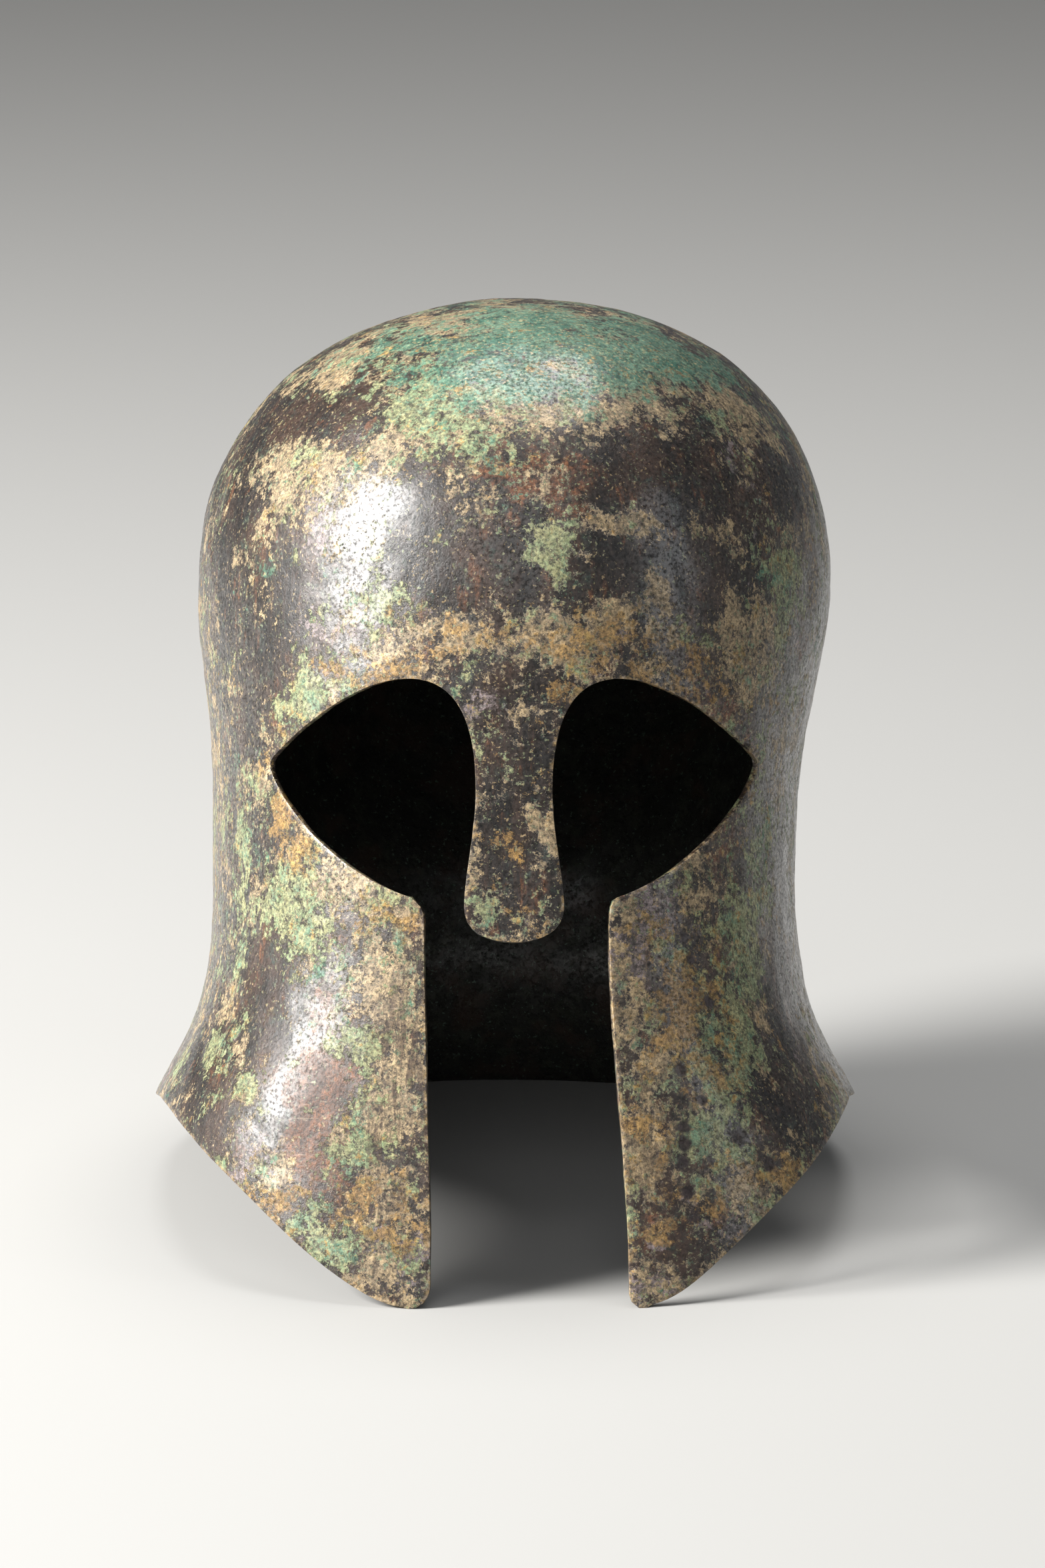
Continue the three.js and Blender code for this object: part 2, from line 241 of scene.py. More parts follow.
@dataclass
class HelmetForm:
    """The outside of the helmet, its openings and its wall, in the upright frame."""

    sections: tuple[Section, ...] = SECTIONS
    cheek_edge: tuple[EdgeStation, ...] = CHEEK_EDGE
    widest_height: float = 155.0
    crown_wall: float = 1.3
    edge_wall: float = 2.0
    nasal_extra: float = 1.0
    nasal_half: float = 15.0
    brow_top: float = 145.0
    brow_foot: float = 95.0
    standing_wear: float = 1.0

    def __post_init__(self) -> None:
        """Makes the smooth curves through the tables."""
        rows = sorted(self.sections, key=lambda row: row.height)
        heights = [row.height for row in rows]
        self.crown_height = heights[-1]
        self.foot_height = self.cheek_edge[0].left
        self.half = SmoothCurve(heights, [row.half ** 2 for row in rows])
        self.front = SmoothCurve(heights, [row.front ** 2 for row in rows])
        self.back = SmoothCurve(heights, [row.back ** 2 for row in rows])
        self.lean = SmoothCurve(heights, [row.lean for row in rows])
        self.blunt_front = SmoothCurve(heights, [row.blunt_front for row in rows])
        self.blunt_back = SmoothCurve(heights, [row.blunt_back for row in rows])
        turns = [row.azimuth for row in self.cheek_edge]
        self.left_edge = SmoothCurve(turns, [row.left for row in self.cheek_edge])
        self.right_edge = SmoothCurve(turns, [row.right for row in self.cheek_edge])

    def reach(self, azimuth: np.ndarray, height: np.ndarray) -> np.ndarray:
        """Reach of the outside from the section's centre.

        Args:
            azimuth: radians from the middle of the face, positive to the viewer's right.
            height: millimetres.

        Returns:
            The reach in millimetres.
        """
        front_share = (1 + np.cos(azimuth)) / 2
        half = np.sqrt(np.maximum(self.half(height), TINY))
        front = np.sqrt(np.maximum(self.front(height), TINY))
        back = np.sqrt(np.maximum(self.back(height), TINY))
        length = back + (front - back) * front_share
        blunt_back = self.blunt_back(height)
        blunt = blunt_back + (self.blunt_front(height) - blunt_back) * front_share
        total = np.abs(np.sin(azimuth) / half) ** blunt + np.abs(np.cos(azimuth) / length) ** blunt
        return total ** (-1 / blunt)

    def points(self, azimuth: np.ndarray, height: np.ndarray) -> np.ndarray:
        """Points of the outside.

        Args:
            azimuth: radians.
            height: millimetres.

        Returns:
            An array of (x, y, z) in millimetres.
        """
        reach = self.reach(azimuth, height)
        x = self.lean(height) + reach * np.sin(azimuth)
        return np.stack([x, -reach * np.cos(azimuth), height + 0 * reach], -1)

    def azimuth_at(self, x: float, height: float) -> float:
        """Azimuth in radians, in front, at which the outside has this X at this height."""
        offset = x - float(self.lean(height))
        low, high = 0.0, math.pi / 2
        for _ in range(HALVINGS):
            middle = (low + high) / 2
            if float(self.reach(middle, height)) * math.sin(middle) < abs(offset):
                low = middle
            else:
                high = middle
        return math.copysign(low, offset)

    def edge_height(self, azimuth: np.ndarray) -> np.ndarray:
        """Height of the lower edge at an azimuth in radians."""
        turn = np.abs(np.degrees(azimuth))
        first, last = self.cheek_edge[0].azimuth, self.cheek_edge[-1].azimuth
        held = np.clip(turn, first, last)
        edge = np.where(np.asarray(azimuth) < 0, self.left_edge(held), self.right_edge(held))
        return np.where(turn >= last, 0.0, edge)

    def face_side(self, side: int) -> list[Pair]:
        """One side of the face opening in the front view, from the nasal's tip to the foot.

        Args:
            side: 1 for the viewer's right and -1 for the left.

        Returns:
            The outline as (x, height) pairs.
        """
        gap = GAP_EDGES[side]
        low = self.foot_height
        rounded = low + gap.rounding
        bend = gap.rounding * FOOT_BEND
        upper, lower = GAP_BEND_HEIGHTS
        curves = FACE_EDGE + (
            EdgeCurve(GAP_CORNER, (gap.top, GAP_CORNER_HEIGHT), (gap.top, GAP_TOP_HEIGHT)),
            EdgeCurve((gap.top, upper), (gap.foot, lower), (gap.foot, rounded)),
            EdgeCurve((gap.foot, low + bend), (gap.foot + bend, low), (gap.foot + gap.rounding, low)),
        )
        outline = [NASAL_TIP]
        for curve in curves:
            outline += bezier(outline[-1], curve.leave, curve.arrive, curve.end)
        return [(side * x, height) for x, height in outline]

    def face_outline(self) -> np.ndarray:
        """The face opening from the right foot round the eyes to the left foot.

        Returns:
            An array of (azimuth in radians, height in millimetres).
        """
        right = self.face_side(1)
        left = self.face_side(-1)
        outline = right[::-1] + left[1:]
        return np.array([(self.azimuth_at(x, height), height) for x, height in outline])

    def wall(self, points: np.ndarray) -> np.ndarray:
        """Thickness of the sheet at points of the outside, in millimetres."""
        low = smooth_step((self.crown_height - points[:, 2]) / self.crown_height)
        wall = self.crown_wall + (self.edge_wall - self.crown_wall) * low
        down = smooth_step((self.brow_top - points[:, 2]) / (self.brow_top - self.brow_foot))
        off = smooth_step(np.abs(points[:, 0]) / self.nasal_half - 1)
        return wall + np.where(points[:, 1] < 0, self.nasal_extra * down * (1 - off), 0)

    def standing_tilt(self) -> float:
        """How far the helmet tips back, in radians, on its cheek feet and rear rim."""
        foot_azimuth = math.radians(self.cheek_edge[0].azimuth)
        foot = self.points(np.array(foot_azimuth), np.array(self.foot_height))
        heel = self.points(np.array(math.pi), np.array(0.0))
        return math.atan2(heel[2] - foot[2], heel[1] - foot[1])


def smooth_step(value: np.ndarray) -> np.ndarray:
    """0 below 0, 1 above 1 and smooth between."""
    held = np.clip(value, 0, 1)
    return held * held * (3 - 2 * held)


# -------------------------------------------------------------------------- stains


class Stain(Enum):
    """The kinds of patina that lie in patches; the lilac kind also paints a highlight on the lower left
    cheek, and the cream kind a sheen along the crown's top edge.
    """

    TEAL = "teal"
    SAGE = "sage"
    CREAM_AND_SHEEN = "cream_and_sheen"
    OCHRE = "ochre"
    RUST = "rust"
    LILAC_AND_HIGHLIGHT = "lilac_and_highlight"
    DARK = "dark"
    STREAK = "streak"


@dataclass(frozen=True)
class Patch:
    """A patch of patina on the front, by its place in the front view in millimetres."""

    kind: Stain
    x: float
    height: float
    wide: float
    tall: float
    amount: float


# The columns are those of Patch after its kind: x, height, wide, tall and amount.
FRONT_ROWS = {
    Stain.TEAL: (
        (12, 224, 44, 17, 1.0), (-30, 222, 18, 9, 0.9), (46, 218, 20, 8, 1.2), (60, 212, 14, 7, 1.0),
        (-8, 211, 22, 8, 0.9), (4, 208, 26, 12, 0.8), (-72, 158, 7, 8, 0.5), (-14, 151, 9, 5, 0.6),
        (-1, 80, 4, 4, 0.6), (-55, 31, 9, 10, 0.45),
    ),
    Stain.SAGE: (
        (-20, 203, 20, 12, 1.0), (-26, 161, 10, 4, 0.4), (12, 158, 9, 8, 1.3), (79, 147, 8, 14, 1.0),
        (-34, 146, 12, 6, 0.8), (-60, 117, 8, 7, 1.3), (-7, 101, 4, 6, 0.5), (-80, 76, 7, 10, 0.9),
        (72, 72, 7, 16, 1.1), (-9, 55, 5, 5, 0.8), (-66, 54, 12, 13, 1.1), (-80, 47, 5, 14, 1.0),
        (66, 46, 10, 14, 0.9), (47, 44, 7, 7, 0.6), (-47, 14, 5, 12, 0.9), (-88, 14, 6, 8, 0.9),
        (62, 12, 12, 16, 1.1), (-81, 3, 7, 9, 0.9), (-46, 2, 5, 26, 0.8), (56, -10, 9, 12, 1.0),
        (-47, -16, 7, 7, 0.9), (-58, -37, 10, 6, 1.0),
    ),
    Stain.CREAM_AND_SHEEN: (
        # The first patch, at -16, 230, is partly cream patina and partly a painted sheen along the crown's
        # top edge.
        (-16, 230, 26, 5, 0.8), (-52, 213, 24, 7, 1.0), (34, 202, 18, 7, 1.0), (69, 200, 13, 9, 1.0),
        (8, 198, 34, 7, 0.8), (-28, 191, 22, 5, 0.8), (-62, 184, 20, 8, 1.0), (30, 170, 9, 5, 0.8),
        (58, 168, 7, 6, 0.9), (40, 144, 9, 5, 1.0), (58, 138, 9, 8, 0.8), (34, 137, 22, 8, 0.6),
        (-2, 132, 26, 7, 0.9), (74, 131, 10, 10, 0.7), (7, 108, 5, 5, 0.4), (-75, 95, 10, 8, 0.8),
        (-5, 90, 4, 6, 0.4), (9, 75, 5, 6, 1.0), (-52, 66, 12, 8, 0.8), (-2, 56, 6, 4, 0.7),
        (32, 32, 5, 12, 0.9), (-79, 16, 6, 8, 1.1), (-36, 14, 9, 40, 1.1), (91, 7, 6, 5, 0.8),
        (-97, 4, 6, 3, 0.8), (39, 4, 6, 18, 0.6), (53, 0, 7, 20, 0.8), (36, -16, 4, 8, 0.8),
        (64, -20, 9, 9, 1.1), (-36, -46, 8, 8, 0.8), (43, -48, 8, 5, 0.9),
    ),
    Stain.OCHRE: (
        (-16, 137, 14, 6, 0.9), (28, 133, 20, 7, 1.0), (-42, 126.5, 18, 3, 1.2), (50, 124, 14, 8, 0.7),
        (16, 119, 9, 3, 1.3), (6, 92, 4, 8, 0.8), (-69, 84, 5, 10, 1.7), (-63, 74, 5, 7, 1.4),
        (-3, 68, 4, 12, 1.2), (-30, 56, 5, 3, 0.9), (9, 55, 5, 6, 0.8), (48, 28, 10, 20, 1.6),
        (37, -2, 5, 20, 1.0), (41, -20, 6, 12, 0.8), (73, -21, 10, 5, 1.5), (-68, -30, 10, 4, 1.0),
        (-44, -30, 7, 8, 1.1), (55, -32, 9, 7, 0.9), (-31, -35, 7, 8, 0.9), (44, -37, 7, 5, 1.0),
    ),
    Stain.RUST: (
        (-4, 181, 12, 7, 0.7), (14, 180, 22, 9, 0.7), (60, 113, 10, 7, 0.8), (60, 76, 7, 10, 0.6),
        (-60, 6, 9, 26, 1.7), (-56, -14, 8, 14, 1.3), (42, -30, 6, 7, 0.5),
    ),
    Stain.LILAC_AND_HIGHLIGHT: (
        (64, 191, 12, 10, 0.8), (-56, 168, 14, 14, 0.8), (84, 160, 6, 18, 0.6), (-54, 140, 20, 7, 0.9),
        (27, 129, 10, 6, 0.9), (1, 112, 9, 6, 0.8), (-40, 61, 12, 6, 0.8), (38, 56, 10, 9, 1.4),
        # The patch at -74, -16 is partly lilac-grey patina and partly a painted highlight of the lower left
        # cheek.
        (33, 44, 5, 12, 1.3), (85, 12, 6, 8, 0.7), (-74, -16, 9, 10, 1.0), (44, -41, 4, 3, 1.8),
        (-30, -42, 7, 8, 1.25), (42, -53, 10, 5, 1.1),
    ),
    Stain.DARK: (
        (-56, 200, 16, 5, 0.7), (-74, 199, 12, 12, 1.1), (37, 189, 20, 7, 1.2), (80, 181, 10, 14, 1.0),
        (48, 178, 22, 9, 1.2), (-80, 172, 10, 9, 1.0), (-26, 171, 14, 8, 0.7), (32, 157, 16, 10, 1.0),
        (-12, 154, 22, 9, 1.2), (50, 152, 18, 9, 1.0), (-85, 150, 8, 18, 0.9), (-66, 146, 16, 12, 0.7),
        (-73, 131, 12, 7, 1.0), (0, 118, 12, 7, 0.6), (-79, 113, 7, 9, 1.0), (4, 100, 9, 10, 0.6),
        (-1, 84, 8, 20, 0.6), (3, 62, 8, 10, 0.8), (79, 61, 6, 14, 1.1), (77, 42, 6, 10, 0.9),
        (-73, 39, 7, 12, 1.2), (80, 24, 8, 14, 1.0), (-71, 20, 9, 12, 1.2), (-94, 9, 8, 10, 1.1),
        (-58, 6, 6, 20, 0.7), (-68, 2, 7, 12, 0.8), (78, 0, 9, 8, 0.9), (-87, -6, 9, 5, 0.9),
        (47, -46, 6, 5, 0.9),
    ),
    Stain.STREAK: (
        (-52, 172, 16, 20, 0.3), (-62, 6, 11, 30, 1.1), (-33, 5, 9, 55, 1.2), (88, 4, 10, 10, 0.8),
        (-84, -6, 12, 9, 0.9), (40, -20, 9, 28, 0.8),
    ),
}
FRONT_PATCHES = tuple(Patch(kind, *row) for kind, rows in FRONT_ROWS.items() for row in rows)


@dataclass(frozen=True)
class SidePatch:
    """A patch of patina anywhere round the helmet, by azimuth in degrees and height."""

    kind: Stain
    azimuth: float
    height: float
    wide: float
    tall: float
    amount: float


SIDE_PATCHES = (
    SidePatch(Stain.TEAL, 180, 222, 46, 16, 1.0),
    SidePatch(Stain.SAGE, -110, 205, 22, 16, 1.0),
    SidePatch(Stain.TEAL, 118, 205, 26, 14, 0.8),
    SidePatch(Stain.CREAM_AND_SHEEN, 150, 190, 30, 12, 1.0),
    SidePatch(Stain.DARK, -100, 170, 26, 22, 1.1),
    SidePatch(Stain.DARK, 96, 150, 16, 34, 0.9),
    SidePatch(Stain.SAGE, -120, 140, 18, 20, 0.9),
    SidePatch(Stain.CREAM_AND_SHEEN, -88, 110, 14, 24, 0.9),
    SidePatch(Stain.SAGE, 98, 100, 14, 30, 1.0),
    SidePatch(Stain.DARK, 180, 165, 34, 18, 1.0),
    SidePatch(Stain.RUST, 165, 150, 24, 16, 0.9),
    SidePatch(Stain.SAGE, -160, 120, 22, 20, 1.0),
    SidePatch(Stain.CREAM_AND_SHEEN, 140, 110, 22, 18, 0.9),
    SidePatch(Stain.DARK, -140, 90, 18, 22, 1.0),
    SidePatch(Stain.TEAL, 175, 80, 20, 18, 0.8),
    SidePatch(Stain.RUST, -105, 70, 12, 26, 0.9),
    SidePatch(Stain.SAGE, -92, 40, 12, 24, 1.0),
    SidePatch(Stain.DARK, 105, 45, 14, 22, 1.0),
    SidePatch(Stain.CREAM_AND_SHEEN, 150, 45, 24, 16, 0.9),
    SidePatch(Stain.OCHRE, -165, 30, 24, 8, 0.9),
    SidePatch(Stain.SAGE, 178, 18, 30, 10, 1.0),
    SidePatch(Stain.DARK, -120, 14, 26, 10, 1.0),
    SidePatch(Stain.CREAM_AND_SHEEN, 112, 12, 20, 8, 0.8),
    SidePatch(Stain.LILAC_AND_HIGHLIGHT, -76, 6, 14, 12, 0.7),
    SidePatch(Stain.OCHRE, 84, 4, 14, 5, 0.8),
)


@dataclass(frozen=True)
class Pit:
    """A small corroded pit, by its place in the front view, in millimetres."""

    x: float
    height: float
    radius: float
    depth: float


PITS = (
    Pit(47.9, 10.0, 2.0, 0.5),
    Pit(54.0, 1.4, 1.7, 0.5),
    Pit(48.9, -6.2, 2.0, 0.6),
    Pit(49.1, -11.2, 2.2, 0.7),
    Pit(48.5, -16.6, 1.9, 0.6),
    Pit(65.6, -9.3, 2.6, 0.9),
    Pit(50.0, -25.0, 1.9, 0.5),
    Pit(51.8, -31.9, 1.7, 0.5),
    Pit(73.9, -17.2, 2.4, 0.5),
    Pit(49.2, 48.1, 1.6, 0.4),
    Pit(51.2, 41.4, 1.6, 0.4),
    Pit(56.5, 29.1, 1.7, 0.4),
)


@dataclass
class StainChart:
    """Works out how much of each kind of patina wants to lie at a point."""

    form: HelmetForm
    ragged: float = 7.0
    ragged_scale: float = 17.0
    ragged_octaves: int = 3
    falloff: float = 0.8
    seed: int = 2

    def spots(self) -> list[tuple[Stain, Vector, float, float, float]]:
        """Every patch as its kind, its centre on the outside, its two radii and its amount."""
        spots = []
        for patch in FRONT_PATCHES:
            azimuth = self.form.azimuth_at(patch.x, patch.height)
            centre = self.form.points(np.array(azimuth), np.array(patch.height))
            spots.append((patch.kind, Vector(centre), patch.wide, patch.tall, patch.amount))
        for patch in SIDE_PATCHES:
            centre = self.form.points(np.array(math.radians(patch.azimuth)), np.array(patch.height))
            spots.append((patch.kind, Vector(centre), patch.wide, patch.tall, patch.amount))
        return spots

    def amounts(self, points: np.ndarray) -> dict[Stain, np.ndarray]:
        """The pull of each kind of patina.

        Args:
            points: places on the wall, in millimetres.

        Returns:
            One value per point for each kind, about 0 to 1.
        """
        # Without a seed the offsets of this noise come from the clock.
        noise.seed_set(self.seed)
        shift = np.array([
            noise.turbulence_vector(Vector(point) / self.ragged_scale, self.ragged_octaves, False)
            for point in points])
        places = points + self.ragged * shift
        pulls = {kind: np.zeros(len(points)) for kind in Stain}
        for kind, centre, wide, tall, amount in self.spots():
            off = places - np.array(centre)
            along = np.hypot(off[:, 0], off[:, 1]) / wide
            up = off[:, 2] / tall
            pulls[kind] = np.maximum(pulls[kind], amount * np.exp(-self.falloff * (along ** 2 + up ** 2)))
        return pulls


# --------------------------------------------------------------------------- shell


@dataclass
class SheetChart:
    """The flat sheet: columns round the helmet, closer in front, and rows down it."""

    form: HelmetForm
    columns: int = 300
    crown_rows: int = 58
    side_rows: int = 102
    crowding: float = 0.28

    @property
    def rows(self) -> int:
        """Number of rows from the crown to the lower edge."""
        return self.crown_rows + self.side_rows

    def azimuth(self, column: np.ndarray) -> np.ndarray:
        """Azimuth in radians of a column; the sheet's two sides meet at the back."""
        s = 2 * np.asarray(column, float) / self.columns - 1
        return math.pi * (s - self.crowding * np.sin(math.pi * s) / math.pi)

    def column(self, azimuth: float) -> float:
        """The column, with its fraction, at an azimuth in radians."""
        s = azimuth / math.pi
        for _ in range(NEWTON_STEPS):
            slope = 1 - self.crowding * math.cos(math.pi * s)
            s -= (s - self.crowding * math.sin(math.pi * s) / math.pi - azimuth / math.pi) / slope
        return (s + 1) * self.columns / 2

    def height(self, column: np.ndarray, row: np.ndarray) -> np.ndarray:
        """Height in millimetres of a place on the sheet."""
        widest = self.form.widest_height
        edge = self.form.edge_height(self.azimuth(column))
        turn = np.clip(row / self.crown_rows, 0, 1) * math.pi / 2
        crown = widest + (self.form.crown_height - widest) * np.cos(turn)
        side = widest + (edge - widest) * (row - self.crown_rows) / self.side_rows
        return np.where(row < self.crown_rows, crown, side)

    def row(self, azimuth: float, height: float) -> float:
        """The row, with its fraction, at an azimuth in radians and a height below the widest."""
        widest = self.form.widest_height
        edge = float(self.form.edge_height(np.array(azimuth)))
        return self.crown_rows + self.side_rows * (widest - height) / (widest - edge)


class Outline:
    """The outline of the face opening on the sheet, as a chain of points."""

    spacing = 0.08

    def __init__(self, points: list[Pair], bottom: float) -> None:
        """Keeps the chain and its index.

        Args:
            points: the chain in columns and rows, from one foot to the other.
            bottom: a row below the sheet, where the opening's area is closed.
        """
        dense = []
        for (x0, y0), (x1, y1) in zip(points, points[1:]):
            parts = max(1, math.ceil(math.hypot(x1 - x0, y1 - y0) / self.spacing))
            dense += [(x0 + (x1 - x0) * k / parts, y0 + (y1 - y0) * k / parts) for k in range(parts)]
        dense.append(points[-1])
        self.dense = np.array(dense)
        self.area = np.array(points + [(points[-1][0], bottom), (points[0][0], bottom)])
        self.tree = kdtree.KDTree(len(dense))
        for i, (x, y) in enumerate(dense):
            self.tree.insert((x, y, 0), i)
        self.tree.balance()

    def nearest(self, place: Vector) -> tuple[Vector, float]:
        """The nearest point of the chain to a place, and how far it is."""
        point, _, distance = self.tree.find((place.x, place.y, 0))
        return point, distance

    def holds(self, x: float, y: float) -> bool:
        """True where a place is inside the opening."""
        ax, ay = self.area[:, 0], self.area[:, 1]
        bx, by = np.roll(ax, -1), np.roll(ay, -1)
        crossing = (ay > y) != (by > y)
        with np.errstate(divide="ignore", invalid="ignore"):
            side = x < (bx - ax) * (y - ay) / (by - ay) + ax
        return bool(np.count_nonzero(crossing & side) % 2)


@dataclass(frozen=True)
class Relief:
    """A fractal unevenness of the outside; size and depth are in millimetres."""

    size: float
    depth: float
    smoothness: float
    finer: float
    octaves: int
    offset: Triple = (0.0, 0.0, 0.0)

    def rise(self, place: Vector) -> float:
        """How far the outside is moved out at a place."""
        spot = place / self.size + Vector(self.offset)
        return noise.fractal(spot, self.smoothness, self.finer, self.octaves) * self.depth


@dataclass
class HelmetShell:
    """The one-piece wall of the helmet: cut flat, raised, weathered and thickened."""

    form: HelmetForm = field(default_factory=HelmetForm)
    name: str = "raised_wall"
    node: str = "helmet_shell"
    rows_below: int = 5
    snap_reach: float = 0.501
    snap_margin: float = 1.0
    on_outline: float = 0.05
    even_rings: int = 2
    even_rounds: int = 5
    even_pull: float = 0.6
    even_smoothing: float = 0.5
    weld: float = 0.02
    dents: Relief = Relief(34.0, 0.55, 1.0, 2.0, 3)
    crust: Relief = Relief(7.0, 0.22, 0.8, 2.2, 4, (31.0, 7.0, 3.0))
    pit_reach: float = 2.5
    edge_share: float = 0.4
    edge_round: float = 0.55
    edge_segments: int = 2
    dome_start: float = 25.0
    deep: float = 3.0

    def __post_init__(self) -> None:
        """Lays out the sheet and the face opening on it."""
        self.sheet = SheetChart(self.form)
        chain = [(self.sheet.column(a), self.sheet.row(a, h)) for a, h in self.form.face_outline()]
        self.outline = Outline(chain, self.sheet.rows + self.rows_below)

    def cut_sheet(self) -> bmesh.types.BMesh:
        """The flat sheet with its face opening cut out."""
        sheet = bmesh.new()
        columns, rows = self.sheet.columns, self.sheet.rows
        half = Matrix.Diagonal((columns / 2, rows / 2, 1, 1))
        place = Matrix.Translation((columns / 2, rows / 2, 0)) @ half
        bmesh.ops.create_grid(sheet, x_segments=columns, y_segments=rows, size=1, matrix=place)
        on_line = self._snap(sheet)
        self._split_across(sheet, on_line)
        inside = [face for face in sheet.faces if self._is_cut(face, on_line)]
        bmesh.ops.delete(sheet, geom=inside, context="FACES")
        self._even_out(sheet)
        return sheet

    def _snap(self, sheet: bmesh.types.BMesh) -> set:
        """Moves each vertex within half a cell of the outline onto it, and returns them."""
        low = self.outline.dense.min(axis=0) - self.snap_margin
        high = self.outline.dense.max(axis=0) + self.snap_margin
        snapped = set()
        for vert in sheet.verts:
            if not (low[0] < vert.co.x < high[0] and low[1] < vert.co.y < high[1]):
                continue
            point, distance = self.outline.nearest(vert.co)
            if distance < self.snap_reach:
                vert.co = point
                snapped.add(vert)
        return snapped

    def _split_across(self, sheet: bmesh.types.BMesh, on_line: set) -> None:
        """Splits the cells that the outline crosses from corner to corner."""
        for face in list(sheet.faces):
            corners = list(face.verts)
            if len(corners) != 4:
                continue
            marks = [vert in on_line for vert in corners]
            if not any(marks):
                continue
            if marks[0] and marks[2] and not (marks[1] and marks[3]):
                bmesh.ops.connect_verts(sheet, verts=[corners[0], corners[2]])
            elif marks[1] and marks[3]:
                bmesh.ops.connect_verts(sheet, verts=[corners[1], corners[3]])

    def _is_cut(self, face: bmesh.types.BMFace, on_line: set) -> bool:
        """True where a cell lies in the face opening."""
        free = [vert.co for vert in face.verts if vert not in on_line]
        if free:
            middle = sum(free, Vector()) / len(free)
        else:
            middle = face.calc_center_median()
        low = self.outline.dense.min(axis=0)
        high = self.outline.dense.max(axis=0)
        if not (low[0] < middle.x < high[0] and low[1] < middle.y):
            return False
        return self.outline.holds(middle.x, middle.y)

    def _even_out(self, sheet: bmesh.types.BMesh) -> None:
        """Evens the cells along the outline, whose own vertices stay on it."""
        rim = {v for v in sheet.verts if v.is_boundary and self.outline.nearest(v.co)[1] < self.on_outline}
        near = set(rim)
        for _ in range(self.even_rings):
            near |= {edge.other_vert(v) for v in near for edge in v.link_edges}
        inner = [v for v in near if not v.is_boundary]
        for _ in range(self.even_rounds):
            targets = {}
            for vert in rim:
                ends = [edge.other_vert(vert) for edge in vert.link_edges if edge.is_boundary]
                if len(ends) == 2 and all(end in rim for end in ends):
                    middle = (ends[0].co + ends[1].co) / 2
                    targets[vert] = self.outline.nearest(vert.co.lerp(middle, self.even_pull))[0]
            for vert, target in targets.items():
                vert.co = target
            bmesh.ops.smooth_vert(
                sheet, verts=inner, factor=self.even_smoothing, use_axis_x=True, use_axis_y=True)

    def raise_sheet(self, sheet: bmesh.types.BMesh) -> None:
        """Raises the flat sheet onto the form and closes it at the back and the crown."""
        flat = np.array([vert.co for vert in sheet.verts])
        heights = self.sheet.height(flat[:, 0], flat[:, 1])
        points = self.form.points(self.sheet.azimuth(flat[:, 0]), heights)
        for vert, point in zip(sheet.verts, points):
            vert.co = point
        bmesh.ops.remove_doubles(sheet, verts=sheet.verts, dist=self.weld)
        bmesh.ops.recalc_face_normals(sheet, faces=sheet.faces)
        crown = max(sheet.verts, key=lambda vert: vert.co.z)
        sheet.normal_update()
        if crown.normal.z < 0:
            bmesh.ops.reverse_faces(sheet, faces=sheet.faces)
            sheet.normal_update()

    def pit_places(self) -> list[tuple[Vector, Pit]]:
        """Each pit with its place on the outside."""
        places = []
        for pit in PITS:
            azimuth = self.form.azimuth_at(pit.x, pit.height)
            places.append((Vector(self.form.points(np.array(azimuth), np.array(pit.height))), pit))
        return places

    def weather(self, sheet: bmesh.types.BMesh) -> None:
        """Adds the hammering, the uneven crust and the pits to the outside."""
        pits = self.pit_places()
        moves = []
        for vert in sheet.verts:
            place = vert.co
            sunk = 0.0
            for centre, pit in pits:
                off = (place - centre).length / pit.radius
                if off < self.pit_reach:
                    sunk += pit.depth * math.exp(-off * off)
            moves.append(vert.normal * (self.dents.rise(place) + self.crust.rise(place) - sunk))
        for vert, move in zip(sheet.verts, moves):
            if vert.is_boundary:
                move = move * self.edge_share
            vert.co += move
        sheet.normal_update()

    def thicken(self, sheet: bmesh.types.BMesh) -> None:
        """Gives the sheet its wall and rounds the edge of it."""
        inward = sheet.verts.layers.float_vector.new("inward")
        places = np.array([vert.co for vert in sheet.verts])
        for vert, wall in zip(sheet.verts, self.form.wall(places)):
            vert[inward] = -vert.normal * wall
        outside = list(sheet.faces)
        result = bmesh.ops.extrude_face_region(sheet, geom=outside, use_keep_orig=True)
        inner = [item for item in result["geom"] if isinstance(item, bmesh.types.BMVert)]
        for vert in inner:
            vert.co += vert[inward]
        inner_faces = {item for item in result["geom"] if isinstance(item, bmesh.types.BMFace)}
        outer_faces = set(outside)
        bmesh.ops.recalc_face_normals(sheet, faces=sheet.faces)
        if sheet.calc_volume(signed=True) < 0:
            bmesh.ops.reverse_faces(sheet, faces=sheet.faces)
        rim_faces = [f for f in sheet.faces if f not in inner_faces and f not in outer_faces]
        rim_edges = set()
        for face in rim_faces:
            for edge in face.edges:
                if any(other in inner_faces or other in outer_faces for other in edge.link_faces):
                    rim_edges.add(edge)
        bmesh.ops.bevel(
            sheet, geom=list(rim_edges), offset=self.edge_round, offset_type="OFFSET",
            segments=self.edge_segments, profile=0.5, affect="EDGES", material=-1, clamp_overlap=True,
        )

